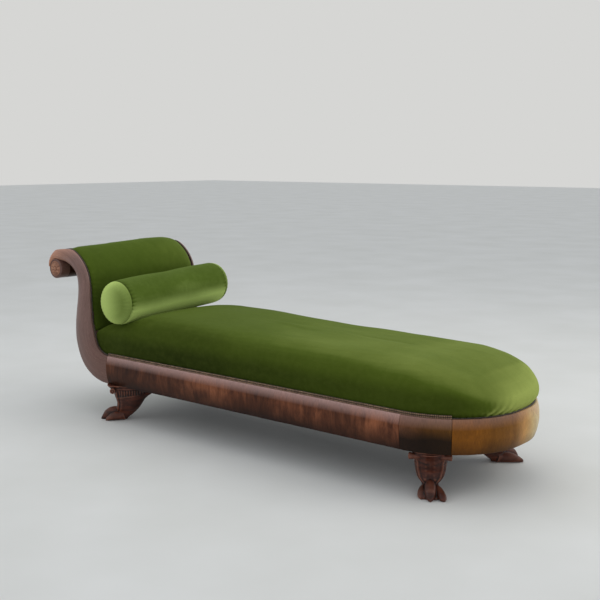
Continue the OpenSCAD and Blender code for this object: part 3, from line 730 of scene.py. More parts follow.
# Each velvet's deep colour is its painted shade and its pale one its painted light and sheen
SEAT_VELVET = velvet("seat_velvet", tint(34, 44, 0), tint(78, 94, 24), tint(158, 170, 86))
HEAD_VELVET = velvet("head_velvet", tint(28, 36, 2), tint(74, 92, 24), tint(146, 162, 76), 3.0)
BOLSTER_VELVET = velvet("bolster_velvet", tint(32, 42, 4), tint(84, 104, 34),
                        tint(188, 210, 118), 7.0)
BRAID = braid_cloth("gimp_braid", tint(36, 22, 15), tint(58, 38, 26), 260.0)
CORD = thread("gimp_cord", tint(34, 24, 15), tint(64, 48, 30))
BEAD = thread("gimp_bead", tint(122, 92, 64), tint(170, 136, 100))
JUTE = woven("jute_webbing", tint(150, 124, 84), tint(116, 92, 58), 330.0, 14.0)
HESSIAN = woven("hessian_cloth", tint(160, 132, 88), tint(126, 100, 62), 260.0)
DUST = woven("dust_cloth", tint(34, 34, 36), tint(22, 22, 24), 420.0)
WIRE = spring_wire()
TACK = tack_metal()


# ---- Rails, corners and bow ----

def rail_part(start, end, steps, foot=True):
    """Part of a rail between two places along it, a little short of both for the seams."""
    return swept(rail_section(), np.linspace(start + SEAM_GAP, end - SEAM_GAP, steps + 1), foot)


def make_rails():
    for side in SIDES:
        rail = on_side(side, rail_part(JOINT_X, FOOT_X, 24, foot=False))
        rail = make_object("rail_" + side, *rail, sharp=WOOD_EDGE)
        dress(soften(rail), RAIL_VENEER[side], replaces=["side_rail_" + side])
        corner = on_side(side, rail_part(0, CORNER_LEN, 20))
        corner = make_object("corner_" + side, *corner, sharp=WOOD_EDGE)
        dress(soften(corner), CORNER_VENEER,
              replaces=["foot_corner_" + side])
    bow = make_object("bow", *rail_part(CORNER_LEN, FOOT_LEN - CORNER_LEN, 72), sharp=WOOD_EDGE)
    dress(soften(bow), BOW_VENEER,
          replaces=["foot_bow_near", "foot_bow_far", "foot_bow_middle"])


# ---- Scrolled arms, their rosettes and the crest between them ----

def arm_shell():
    """The arm as a moulding swept along its side view."""
    t = np.arange(FACE_STEPS + 1) / FACE_STEPS
    lip = FACE_TOP + LIP_T
    run = lengths((arm_back + arm_front) / 2) * MM
    rings, across = [], []
    for i in range(ARM_LAST + 1):
        w, step = arm_width[i], arm_step(i)
        section = [(w * k, d) for k, d in zip(t, face_in(t))]
        section += [(w, lip), (w - step, lip), (w - step, ARM_T), (0, ARM_T)]
        ring = []
        for h, d in section:
            x, z = arm_at(i, w - h)
            ring.append((x - (SEAM_GAP if i == 0 else 0), d - HALF_W, z))
        rings.append(ring)
        across.append(girth(section))
    return skin(rings, run, across)


def at_eye(x, y, h):
    """From a turned form's own place to the near volute; h is the distance out of its face."""
    return EYE[0] + x, FACE_TOP / 2 - HALF_W - h, EYE[1] + y


# The ring cut in the volute's face: radii and depths
EYE_RING = [(35.4, -0.2), (34.8, -1.2), (34.0, -1.6), (33.2, -1.2), (32.6, -0.2), (31.9, 0)]


def volute_eye():
    """The turned disc at the heart of the scroll, with a rounded rim and a fine ring."""
    back = -ARM_T + FACE_TOP / 2
    profile = [(0.01, back), (VOLUTE_R - 1, back), (VOLUTE_R, back + 1), (VOLUTE_R, -3.0)]
    profile += [(VOLUTE_R - 3 + 3 * math.cos(a), -3 + 3 * math.sin(a))
                for a in np.radians([15, 30, 45, 60, 75, 90])]
    return lathe(profile + EYE_RING + [(0.01, 0)], 96, at_eye)


# The rosette: its petals, and as shares of its radius where they start and how long they
# are, its boss, the groove round it and its beaded rim
PETALS = 8
PETAL_FROM, PETAL_LEN, BOSS, GROOVE, RIM = 0.26, 0.56, 0.27, 0.28, 0.91


def rosette():
    """Eight carved petals round a boss, inside a beaded rim; heights in millimetres."""
    rows, sides = 44, 128
    angles = circle(sides)
    petal = np.abs(np.cos(PETALS / 2 * angles)) ** 0.6
    vein = mound(np.cos(PETALS * angles), -1, 0.3)
    beads = 0.6 + 0.4 * np.abs(np.sin(20 * angles))
    rings = []

    def ring(radius, heights):
        rings.append([at_eye(radius * math.cos(a), radius * math.sin(a), h)
                      for a, h in zip(angles, heights)])
    for k in range(rows + 1):
        r = k / rows
        height = np.full(sides, 1.2)
        out = np.clip((r - PETAL_FROM) / PETAL_LEN, 0, 1)
        height += 2.6 * petal * np.sin(np.pi * out) ** 0.8
        height -= 0.8 * vein * (0.3 < r < 0.8)
        height += 4.4 * math.sqrt(max(0, 1 - (r / BOSS) ** 2))
        height -= 1.2 * mound(r, GROOVE, 0.03)
        height += 2.2 * beads * mound(r, RIM, 0.05)
        height *= 1 - smooth_step(r, 0.96, 1.0)
        ring(ROSETTE_R * max(r, 0.002), np.minimum(height, ROSETTE_H) - 0.3)
    ring(ROSETTE_R * 0.99, np.full(sides, -1.0))
    return skin(rings, np.linspace(0, 0.03, rows + 2), np.linspace(0, 0.2, sides + 1))


def crest():
    """Solid roll between the arms, under the end of the headrest's velvet."""
    start = CREST_KNOT * ARM_STEPS
    outline = [tuple(arm_front[i]) for i in range(start, ARM_LAST + 1, 2)]
    for a in np.radians(np.arange(176, 436, 6)):
        outline.append(tuple(EYE + (VOLUTE_R + 0.2) * np.array([math.cos(a), math.sin(a)])))
    outline.append(tuple(arm_back[start]))
    width = HALF_W - ARM_T - SEAM_GAP / 2
    stations = np.linspace(-width, width, 13)
    rings = [[(x, y, z) for x, z in outline] for y in stations]
    return skin(rings, stations * MM, girth(outline))


def make_arms():
    for side in SIDES:
        arm = on_side(side, joined([arm_shell(), volute_eye()]))
        arm = make_object("scroll_arm_piece_" + side, *arm, sharp=WOOD_EDGE)
        dress(soften(arm), ARM_VENEER, replaces=["scroll_arm_" + side])
        petals = make_object("rosette_" + side, *on_side(side, rosette()), sharp=TRIM_EDGE)
        paint_relief_shading(petals)
        dress(petals, ROSETTE_WOOD, replaces=["volute_rosette_" + side])
    roll = soften(make_object("crest_roll_piece", *crest(), sharp=WOOD_EDGE))
    dress(roll, ROLL_VENEER_IN_PAINTED_SHADE, replaces=["crest_roll"])


def keep_values(mesh, name, values):
    """Stores a value from 0 to 1 at each point, for a material to read."""
    attribute = mesh.attributes.get(name) or mesh.attributes.new(name, "FLOAT", "POINT")
    attribute.data.foreach_set("value", np.clip(values, 0, 1).astype(np.float32))


def neighbours(mesh):
    """A function that gives each point the mean of the points round it."""
    edges = np.zeros(len(mesh.edges) * 2, np.int32)
    mesh.edges.foreach_get("vertices", edges)
    edges = edges.reshape(-1, 2)
    count = np.bincount(edges.ravel(), minlength=len(mesh.vertices)).clip(1)[:, None]

    def around(values):
        total = np.zeros_like(values)
        np.add.at(total, edges[:, 0], values[edges[:, 1]])
        np.add.at(total, edges[:, 1], values[edges[:, 0]])
        return total / count
    return around


def paint_relief_shading(obj):
    """Vertex attribute that paints shade in hollows, below a half, and a highlight on edges,
    above it.
    """
    mesh = obj.data
    co, normals = coordinates(mesh), vertex_normals(mesh)
    around = neighbours(mesh)
    mean = co
    for _ in range(4):
        mean = around(mean)
    proud = np.einsum("ij,ij->i", co - mean, normals)[:, None]
    spread = np.percentile(np.abs(proud), 90) + 1e-9
    for _ in range(2):
        proud = (proud + around(proud)) / 2
    keep_values(mesh, "painted_relief_shading", 0.5 + 0.25 * proud[:, 0] / spread)


# ---- Carved legs ----

# The back of the leg's shield: height as a share of the leg's, and place as one of its depth
LEG_BACK = [(0, -0.07), (0.036, -0.085), (0.087, -0.1), (0.145, -0.14), (0.217, -0.2),
            (0.283, -0.245), (0.348, -0.28), (0.4, -0.305), (0.47, -0.335), (0.565, -0.378),
            (0.667, -0.46), (0.71, -0.515), (0.754, -0.53), (0.928, -0.53)]
# Height and half width of the shield
SHIELD_HALF = [(17, 22), (30, 26), (36, 28), (40, 32), (44, 36), (52, 42), (60, 45), (67, 47),
               (80, 49.5), (95, 51), (120, 52.5), (140, 52.5)]
# Pitch and depth of the flutes on the leg's flanks, and where they end
FLUTE_PITCH, FLUTE_DEPTH = 10.4, 3.4
FLUTE_TOP = 128.5


def superellipse(low, high, half, power, back, count):
    """Points round a level of the leg, evenly spaced, starting at its toe side."""
    a = np.linspace(0, 2 * math.pi, 721)
    reach = (high - low) / 2
    x = (low + high) / 2 + reach * np.sign(np.cos(a)) * np.abs(np.cos(a)) ** (2 / power)
    y = half * np.sign(np.sin(a)) * np.abs(np.sin(a)) ** (2 / power)
    y = y * (1 - back * np.maximum(0, -np.cos(a)))
    run = np.concatenate([[0], np.cumsum(np.hypot(np.diff(x), np.diff(y)))])
    at = np.linspace(0, run[-1], count, endpoint=False)
    return np.column_stack([np.interp(at, run, x), np.interp(at, run, y)])


def shield_front(z):
    """How far the shield's front stands out at a height: it curls forward towards its top."""
    return 33 + 0.35 * max(0, z - 74) + 0.014 * max(0, z - 106) ** 2


def leg_shield():
    """The leg from its ankle to its plate: a shield in front and flutes on both sides."""
    backs, halves = np.array(LEG_BACK), np.array(SHIELD_HALF)
    rings = []
    for share in np.linspace(0.13, 0.928, 92):
        low = np.interp(share, backs[:, 0], backs[:, 1])
        z = share * LEG_H
        half = float(np.interp(z, halves[:, 0], halves[:, 1]))
        ring = superellipse(low * LEG_DEPTH, shield_front(z), half, 3.2, 0.3, 220)
        tangent = np.roll(ring, -1, axis=0) - np.roll(ring, 1, axis=0)
        normal = np.column_stack([tangent[:, 1], -tangent[:, 0]])
        normal /= np.linalg.norm(normal, axis=1)[:, None]
        side = np.abs(ring[:, 1])
        edge = half - side
        # In front: a rim, a groove and a bead inside it, then the sunk field with its leaf
        field = smooth_step(edge, 16, 20)
        move = (1.6 * mound(edge, 2, 2.0) - 2.6 * mound(edge, 6.5, 2.2)
                + 2.8 * mound(edge, 11.5, 2.6) - 2.8 * smooth_step(edge, 14, 18)
                + field * 3.6 * np.maximum(0, 1 - side / 30))
        move += 1.3 * np.abs(np.sin((z - 40) / 15.0 * math.pi)) * mound(side, 13, 5) * field
        move += 3.2 * mound(side, 15, 8) * mound(z, 50, 7)
        move *= smooth_step(normal[:, 0], 0.1, 0.6)
        # On the flanks: a band of flutes between two mouldings
        flank = smooth_step(np.abs(normal[:, 1]), 0.45, 0.8)
        bottom = 109 - 0.14 * (ring[:, 0] + 60)
        band = smooth_step(z, bottom - 1.5, bottom + 1.5) * smooth_step(FLUTE_TOP - z, 0, 2)
        flute = 0.5 - 0.5 * np.cos(2 * math.pi * ring[:, 0] / FLUTE_PITCH)
        move -= flank * band * FLUTE_DEPTH * flute
        move += flank * 1.4 * (mound(z, FLUTE_TOP + 2.5, 2.0) + 0.8 * mound(z, bottom - 3, 1.8))
        rings.append([(x, y, z) for x, y in ring + normal * move[:, None]])
    return plain_skin(rings)


def leg_plate():
    """Moulded plate on top of the leg: drop from the top, front and half width as shares."""
    profile = [(13, 0.26, 0.5), (11, 0.27, 0.51), (9, 0.285, 0.525), (7, 0.31, 0.54),
               (4.5, 0.33, 0.55), (3, 0.328, 0.548), (2, 0.338, 0.555), (0.3, 0.34, 0.56)]
    rings = []
    for drop, high, half in profile:
        ring = superellipse(-0.535 * LEG_DEPTH, high * LEG_DEPTH, half * LEG_W, 4.0, 0.3, 120)
        rings.append([(x, y, LEG_H - drop) for x, y in ring])
    return plain_skin(rings)


def leg_scroll():
    """Small scrolls on both sides of the leg, each with a ring cut in its end."""
    reach = LEG_W / 2 + LEG_SCROLL_OUT + 2
    r = 1.08 * LEG_SCROLL_R
    half = [(0.01, reach + 1.6), (r * 0.22, reach + 1.4), (r * 0.34, reach - 1.2),
            (r * 0.52, reach - 1.4), (r * 0.64, reach), (r * 0.88, reach), (r, reach - 1.2),
            (r, reach - 9), (r * 0.9, reach - 16), (r * 0.8, reach - 26), (r * 0.5, reach - 42)]
    centre = (0.218 * LEG_DEPTH, 0.877 * LEG_H)
    return joined([lathe([(a, side * b) for a, b in half], 40,
                         lambda x, y, h: (centre[0] + x, h, centre[1] + y))
                   for side in (1, -1)])


def toe(path, spread):
    """One toe as a row of round sections, which moves sideways along the paw by its spread."""
    rings = []
    for d, z, wide, tall in spline(path, 8):
        side = spread[0] + (spread[1] - spread[0]) * np.clip((d - TOE_ROOT) / TOE_LEN, 0, 1)
        rings.append([(d + 0.25 * tall * math.sin(t), side + wide * math.cos(t),
                       max(0.0, z + tall * math.sin(t))) for t in circle(24)])
    return plain_skin(rings)


# Toes and heel, section by section: place along the paw, height, half width and half height;
# and how far each lies to the side at its root and at its tip
MIDDLE_TOE = [(12, 28, 12, 22), (30, 29, 15, 23), (48, 28.5, 17.5, 22), (60, 26, 17.5, 21),
              (70, 21.5, 17, 19), (79, 17, 16, 17), (86, 12, 13, 12.5), (92, 7.5, 9, 8),
              (96, 4, 5, 4.5), (99, 1.5, 1.5, 1.5)]
LONG_TOE = [(4, 16, 11, 16), (24, 17, 14, 17), (40, 17, 15.5, 17), (54, 15.5, 15.5, 15.5),
            (65, 13, 15.5, 13), (75, 10, 14, 10.5), (83, 7, 11, 7.5), (89, 4.5, 6.5, 5),
            (92, 1.5, 1.4, 1.5)]
SHORT_TOE = [(4, 16, 11, 16), (20, 17, 14, 17), (34, 17, 15.5, 17), (46, 15.5, 15.5, 15.5),
             (56, 13, 15, 13), (64, 10, 13.5, 10.5), (71, 7, 10.5, 7.5), (76, 4.5, 6, 5),
             (79, 1.5, 1.4, 1.5)]
HEEL = [(-6, 10, 8, 9), (2, 13, 20, 13), (14, 16, 30, 17), (34, 15, 35, 16), (54, 12, 36, 13),
        (68, 8, 34, 9), (78, 4, 24, 5)]
PAW = [(HEEL, (0, 0)), (MIDDLE_TOE, (0, 4)), (SHORT_TOE, (-17, -27)), (LONG_TOE, (18, 45))]
TOE_ROOT, TOE_LEN = 18, 74


def leg_heel():
    """The back of the leg: height, back, front and half width, up from the paw."""
    table = [(0, -3, 24, 18), (8, -12, 28, 21), (16, -23, 31, 23), (28, -38, 32, 24),
             (42, -51, 33, 27), (58, -63, 33, 32)]
    rings = [[(x, y, z) for x, y in superellipse(low, high, half, 2.4, 0.35, 80)]
             for z, low, high, half in spline(table, 8)]
    return plain_skin(rings)


# Size of the even mesh of each kind of piece, in millimetres
LEG_VOXEL, SEAT_VOXEL, PAD_VOXEL = 1.7, 9.0, 6.0


def even_mesh(obj, voxel):
    """A modifier that makes one closed skin of all the parts."""
    remesh = obj.modifiers.new("even_mesh", "REMESH")
    remesh.mode = "VOXEL"
    remesh.voxel_size = voxel * MM


def carved_leg():
    """The whole leg as one carved skin, in its own place: x along the paw and y across it."""
    parts = [leg_shield(), leg_plate(), leg_scroll(), leg_heel()]
    parts += [toe(path, spread) for path, spread in PAW]
    rough = make_object("leg_rough", *joined(parts))
    even_mesh(rough, LEG_VOXEL)
    smooth = rough.modifiers.new("rasp", "SMOOTH")
    smooth.factor = 0.5
    smooth.iterations = 2
    leg = baked(rough, "leg_carved")
    co = coordinates(leg.data)
    co[:, 2] = np.clip(co[:, 2], 0, LEG_H * MM)
    leg.data.vertices.foreach_set("co", co.ravel())
    leg.data.update()
    paint_relief_shading(leg)
    # claws darkens the claws' tips, which are dark; back adds painted shade to the back of the
    # leg, which stands in shadow under the frame
    claws = smooth_step(co[:, 0] / MM, 66, 96) * (1 - smooth_step(co[:, 2] / MM, 22, 30))
    back = 1 - smooth_step(co[:, 0] / MM, -60, -20)
    values = np.zeros(len(co), np.float32)
    leg.data.attributes["painted_relief_shading"].data.foreach_get("value", values)
    keep_values(leg.data, "painted_relief_shading", values * (1 - 0.4 * claws) * (1 - 0.25 * back))
    return leg


def leg_place(foot):
    """Where a near leg stands and how it is turned: at the foot end or at the head end."""
    if foot:
        a = math.radians(CORNER_ANGLE / 2 - 90)
        r = SIDE_R - LEG_FOOT_IN
        place = (FOOT_X + r * math.cos(a), -SIDE_Y + r * math.sin(a))
        turn = -LEG_FOOT_TURN
    else:
        place, turn = (JOINT_X + LEG_HEAD_X, LEG_IN - HALF_W), -LEG_HEAD_TURN
    return (Matrix.Translation((place[0] * MM, place[1] * MM, 0))
            @ Matrix.Rotation(math.radians(turn), 4, "Z"))


def make_legs():
    """Four legs from one pattern, mirrored for the head end and for the far side."""
    pattern = carved_leg()
    mirror = Matrix.Scale(-1, 4, (0, 1, 0))
    for end in ("head", "foot"):
        for side in SIDES:
            mesh = pattern.data.copy()
            if end == "head":
                mesh.transform(mirror)
            mesh.transform(leg_place(end == "foot"))
            if side == "far":
                mesh.transform(mirror)
            if (end == "head") != (side == "far"):
                mesh.flip_normals()
            shade_smooth(mesh)
            leg = placed(f"carved_leg_{end}_{side}", mesh)
            dress(leg, CARVED, replaces=[f"leg_{end}_{side}"])
    bpy.data.objects.remove(pattern)


# ---- Soft pieces ----

# How a cover behaves as cloth over its filling
COVER = {"quality": 5, "mass": 0.35, "tension_stiffness": 18, "compression_stiffness": 18,
         "shear_stiffness": 8, "bending_stiffness": 1.2, "use_pressure": True,
         "uniform_pressure_force": 4.0, "vertex_group_mass": "held"}
# Frames of settling, rounds of evening out, and the most that a point of each cover moves,
# in millimetres
SETTLE_FRAMES = 20
SETTLE_ROUNDS = 12
SEAT_MOVE, HEAD_MOVE, BOLSTER_MOVE = 5, 5, 4


def remeshed(obj, voxel):
    even_mesh(obj, voxel)
    return baked(obj)


def under_pressure(obj, held, cap):
    """Lets the cover settle as cloth over its filling.

    held is how firmly each point stays, and cap is the most that one moves, in millimetres.
    The movement is evened out over the points round it.
    """
    mesh = obj.data
    before = coordinates(mesh)
    group = obj.vertex_groups.new(name="held")
    for k, weight in enumerate(held):
        if weight > 0.01:
            group.add([k], float(min(1, weight)), "REPLACE")
    cloth = obj.modifiers.new("cover", "CLOTH")
    for key, value in COVER.items():
        setattr(cloth.settings, key, value)
    cloth.settings.effector_weights.gravity = 0
    cloth.collision_settings.use_collision = False
    cloth.point_cache.frame_start = 1
    cloth.point_cache.frame_end = SETTLE_FRAMES
    scene = bpy.context.scene
    for step in range(1, SETTLE_FRAMES + 1):
        scene.frame_set(step)
    graph = bpy.context.evaluated_depsgraph_get()
    after = coordinates(obj.evaluated_get(graph).data)
    obj.modifiers.remove(cloth)
    scene.frame_set(1)
    move = after - before
    size = np.linalg.norm(move, axis=1)[:, None]
    move *= np.minimum(1, cap * MM / np.maximum(size, 1e-9))
    around = neighbours(mesh)
    for _ in range(SETTLE_ROUNDS):
        move = (move + around(move)) / 2
    mesh.vertices.foreach_set("co", (before + move).ravel())
    mesh.update()
    obj.vertex_groups.clear()


def refined(obj):
    """One level of subdivision, applied."""
    fine = obj.modifiers.new("fine", "SUBSURF")
    fine.levels = fine.render_levels = 1
    return baked(obj)


def shift_points(obj, rule):
    """Moves each point along its normal by what the rule gives, in millimetres."""
    mesh = obj.data
    co, normals = coordinates(mesh), vertex_normals(mesh)
    move = rule(co / MM, normals)
    mesh.vertices.foreach_set("co", (co + normals * (move * MM)[:, None]).ravel())
    mesh.update()
    shade_smooth(mesh)


def ripple(value, seed, pitch):
    """Uneven waves along a length: their spacing and height vary."""
    wander = (np.sin(value / (pitch * 3.1) + seed) + np.sin(value / (pitch * 7.3) + 2.1 * seed))
    height = 0.65 + 0.35 * np.sin(value / (pitch * 2.3) + 1.7 * seed)
    return height * np.cos(2 * math.pi * value / pitch + 1.4 * wander)


def lay_painted_light(obj, rule):
    """Vertex attribute of painted light and shade on velvet: 0 for painted shade and 1 for
    painted light and sheen.
    """
    mesh = obj.data
    keep_values(mesh, "painted_light", rule(coordinates(mesh) / MM, vertex_normals(mesh)))


# Where the pads stand behind the wooden face and over the step
PAD_INSET = FACE_TOP + LIP_T + GIMP_W + FIT_GAP
PAD_LIFT = HESSIAN_T + FIT_GAP
# The step of the arm's edge where the seat ends
SEAT_END = int(4.5 * ARM_STEPS)
# From the seat's rim to its spine: share of the way in, share of the height, and swell
SEAT_RINGS = [(1, 0, 0), (1, 0.13, 0), (1, 0.27, 0.7), (1, 0.48, 1), (0.992, 0.66, 0.8),
              (0.97, 0.79, 0.3), (0.925, 0.87, 0), (0.86, 0.92, 0), (0.75, 0.955, 0),
              (0.6, 0.978, 0), (0.42, 0.991, 0), (0.22, 0.998, 0), (0.06, 1, 0)]
# The seat's spine: place along the rail or the foot end, and share of its dip or its fall
SEAT_HEAD = [(-0.033, 1.55), (0, 1), (0.044, 0.67), (0.094, 0.17), (0.18, -0.17), (0.5, 0),
             (0.833, 0.08)]
SEAT_FOOT = [(0, 0.125), (0.3, 0.275), (0.6, 0.45), (1, 1)]
SEAT_CREASE_UP = 20.0
SWELL_RUN = 90.0
# Extra height behind the bolster, and how much more the seat swells over the foot end
SEAT_FULL = 12.0
SEAT_OVERHANG = 1.5
# The round end's mean radius, and where its folds come up and fade, in degrees round it
END_R = 250
NEAR_FOLDS, FAR_FOLDS = (-38, -30, 4, 16), (38, 46, 60, 70)


def seat_shape():
    """Upholstered seat: rings that follow the frame's plan and draw in to a crowned spine."""
    rim = []
    for i in range(SEAT_END, 0, -3):
        x, z = arm_at(i, LIP_H - PAD_LIFT)
        rim.append((x, -HALF_W + PAD_INSET, z))
    for x in np.linspace(JOINT_X, FOOT_X, 71):
        rim.append((x, -HALF_W + PAD_INSET, STEP_TOP + PAD_LIFT))
    rim += [(x, y, STEP_TOP + PAD_LIFT)
            for x, y in round_foot(np.linspace(0, FOOT_LEN / 2, 31)[1:], PAD_INSET)]
    rim += [(x, -y, z) for x, y, z in rim[-2::-1]]
    rim = np.array(rim)
    table = [(arm_front[SEAT_END][0], arm_front[SEAT_END][1] + SEAT_CREASE_UP)]
    table += [(JOINT_X + a * RAIL_LEN, SEAT_CROWN_H - b * SEAT_DIP) for a, b in SEAT_HEAD]
    table += [(FOOT_X + a * FOOT_RISE, SEAT_CROWN_H - b * SEAT_FOOT_FALL) for a, b in SEAT_FOOT]
    table = np.array(table)
    crown_x, crown_z = table[:, 0], table[:, 1]
    anchor = np.column_stack([np.clip(rim[:, 0], JOINT_X + 0.11 * RAIL_LEN, FOOT_X - SIDE_Y),
                              np.zeros(len(rim))])
    away = rim[:, :2] - anchor
    unit = away / np.linalg.norm(away, axis=1)[:, None]
    side = np.where(rim[:, 0] < JOINT_X, 0, np.clip((rim[:, 0] - JOINT_X) / SWELL_RUN, 0, 1))
    side = side * (1 + SEAT_OVERHANG * smooth_step(rim[:, 0], FOOT_X + 20, FOOT_X + 170))
    rings = []
    for share, height, swell in spline(SEAT_RINGS, 4):
        plan = anchor + away * share + (SEAT_SWELL * swell * side)[:, None] * unit
        top = np.interp(plan[:, 0], crown_x, crown_z)
        full = (smooth_step(plan[:, 0], JOINT_X - 20, JOINT_X + 150)
                * (1 - smooth_step(plan[:, 0], JOINT_X + 350, JOINT_X + 900)))
        z = rim[:, 2] + (top + SEAT_FULL * full - rim[:, 2]) * height
        rings.append(np.column_stack([plan, z]))
    return plain_skin(rings)


def foot_angle(points):
    """Direction round the foot end, from its near side to its far side."""
    return np.arctan2(points[:, 1], np.maximum(points[:, 0] - FOOT_X + 40, 1e-3))


def make_seat():
    """The crowned seat, with its folds round the foot end and its painted light and shade."""
    seat = remeshed(make_object("seat_velvet_piece", *seat_shape()), SEAT_VOXEL)
    co = coordinates(seat.data) / MM
    rim = 1 - smooth_step(co[:, 2], RAIL_TOP + 10, RAIL_TOP + 34)
    head = 1 - smooth_step(co[:, 0], JOINT_X - 40, JOINT_X + 190)
    under_pressure(seat, np.maximum(rim, head), SEAT_MOVE)
    seat = refined(seat)

    def folds(p):
        """The strong folds of the round end, near and far, from 0 to 1."""
        up = p[:, 2] - RAIL_TOP
        turn = np.degrees(foot_angle(p)) - 0.16 * np.maximum(up, 0)
        near, far = (smooth_step(turn, a, b) * (1 - smooth_step(turn, c, d))
                     for a, b, c, d in (NEAR_FOLDS, FAR_FOLDS))
        waves = 0.4 + 0.6 * ripple(np.radians(turn) * END_R, 1.3, 27.0)
        return (near + 0.7 * far) * np.exp(-np.maximum(up - 14, 0) / 15) * waves

    def gathers(p, n):
        up = p[:, 2] - RAIL_TOP
        upright = 1 - smooth_step(np.abs(n[:, 2]), 0.75, 0.97)
        end = smooth_step(p[:, 0], FOOT_X + 40, FOOT_X + 120)
        fold = folds(p) * end * 2.8
        round_end = foot_angle(p) * END_R + up * 0.3
        fold += ripple(round_end, 2.9, 17.0) * np.exp(-np.maximum(up - 4, 0) / 12) * end * 0.6
        along = p[:, 0] + up * 0.35
        pull = ripple(along, 4.1, 31.0) * np.exp(-np.maximum(up - 4, 0) / 16) * (1 - end) * 0.6
        soft = (np.sin(p[:, 0] / 61 + p[:, 1] / 93) * np.sin(p[:, 1] / 57 - p[:, 0] / 143)
                + 0.6 * np.sin(p[:, 0] / 137 + 1.3 * np.sin(p[:, 1] / 120)))
        body = smooth_step(p[:, 2], RAIL_TOP + 20, RAIL_TOP + 60)
        inside = smooth_step(np.abs(p[:, 0] - JOINT_X - BOLSTER_X), 95, 170)
        return (fold + pull) * upright * (up > -6) + 1.3 * soft * body * inside
    shift_points(seat, gathers)

    # Painted light and shade: lighter towards the foot end and where the seat faces the foot, a
    # little lighter where it faces the far side, darker on its near side below the top and in the
    # crease along the rail, and painted highlights on the folds of the round end
    def painted_light_rule(p, n):
        base = 0.42 + 0.2 * smooth_step(p[:, 0], JOINT_X + 200, FOOT_X)
        foot_facing_painted_light = (smooth_step(n[:, 0], 0.3, 0.8)
                 * smooth_step(np.degrees(foot_angle(p)), -34, -6))
        near = smooth_step(-n[:, 1], 0.22, 0.9) * (1 - 0.85 * foot_facing_painted_light)
        near *= 1 - 0.6 * smooth_step(p[:, 2], RAIL_TOP + 50, RAIL_TOP + 110)
        near *= 1 - 0.2 * smooth_step(-p[:, 0], -JOINT_X - 450, -JOINT_X - 150)
        far = smooth_step(n[:, 1], 0.2, 0.8)
        crease_painted_shade = 1 - smooth_step(p[:, 2] - RAIL_TOP, 2, 16)
        light = 0.5 * np.clip(folds(p), 0, 1) * smooth_step(p[:, 0], FOOT_X + 90, FOOT_X + 140)
        return base + 0.4 * foot_facing_painted_light + 0.06 * far - 0.4 * near - 0.12 * crease_painted_shade + light
    lay_painted_light(seat, painted_light_rule)
    dress(seat, SEAT_VELVET, replaces=["seat_upholstery"])


# The headrest: its crown, the steps of the arm's edge over which it fills out towards the
# crest, and the share of its half width where it turns down to the gimp
HEAD_CROWN = HEAD_SWELL + 5.5
HEAD_FULL_FROM, HEAD_FULL_AT = 90, 135
HEAD_TURN = 0.965
# The headrest's front from the side, in height and x: behind it the cover stays as it is
HEAD_FRONT_Z, HEAD_FRONT_X = [250, 400, 560, 600], [-770, -741, -745, -830]


def make_headrest():
    """The headrest's pad, which follows the arms and rolls over the crest."""
    half = HALF_W - PAD_INSET
    inner = HALF_W - ARM_T - FIT_GAP
    across = np.linspace(-1, 1, 41)
    rings = []
    for i in range(HEAD_KNOT * ARM_STEPS, CREST_KNOT * ARM_STEPS + 5, 3):
        low = arm_step(i) - FIT_GAP
        high = smooth_step(i, HEAD_FULL_FROM, HEAD_FULL_AT)
        outline = [(-half, low)]
        for share in across:
            edge = 5.0 * np.maximum(0, (abs(share) - HEAD_TURN) / (1 - HEAD_TURN)) ** 2
            crown = HEAD_CROWN * (1 + 0.8 * high + 1.6 * high * smooth_step(share, -0.7, 0.7))
            outline.append((share * half, -FIT_GAP - crown * (1 - share ** 8) + edge))
        outline += [(half, low), (inner, low), (inner, HEAD_PAD_T - FIT_GAP),
                    (-inner, HEAD_PAD_T - FIT_GAP), (-inner, low)]
        rings.append(arm_ring(i, outline))
    pad = remeshed(make_object("headrest_velvet_piece", *plain_skin(rings)), PAD_VOXEL)
    co = coordinates(pad.data) / MM
    edge = smooth_step(np.abs(co[:, 1]), half - 26, half - 8)
    low = 1 - smooth_step(co[:, 2], RAIL_TOP + 90, RAIL_TOP + 150)
    front = co[:, 0] > np.interp(co[:, 2], HEAD_FRONT_Z, HEAD_FRONT_X)
    under_pressure(pad, np.maximum(np.maximum(edge, low), 1.0 - front), HEAD_MOVE)
    pad = refined(pad)

    def creases(p, _):
        near_edge = np.exp(-(half - np.abs(p[:, 1])) / 20)
        tug = ripple(p[:, 2] * 1.2 + p[:, 0] * 0.5, 2.2, 24.0) * near_edge * 0.9
        soft = np.sin(p[:, 1] / 71 + 0.8) * np.sin(p[:, 2] / 49) * 1.1
        return (tug + soft) * smooth_step(half - np.abs(p[:, 1]), 0, 12)
    shift_points(pad, creases)

    # Painted light and shade: lighter towards the top and towards the far side, with a painted
    # sheen along the edges near the top
    def painted_light_rule(p, _):
        high = smooth_step(p[:, 2], 420, 640)
        edge = np.exp(-(half - np.abs(p[:, 1])) / 14)
        return 0.34 + 0.12 * high + 0.07 * smooth_step(p[:, 1], -200, 200) + 0.1 * edge * high
    lay_painted_light(pad, painted_light_rule)
    dress(pad, HEAD_VELVET, replaces=["headrest_upholstery"])


# The outside back: the points of the arm between which it lies, its crown and thickness
BACK_FROM, BACK_TO = 1.5, 14.5
BACK_CROWN, BACK_T = 2.4, 3.0


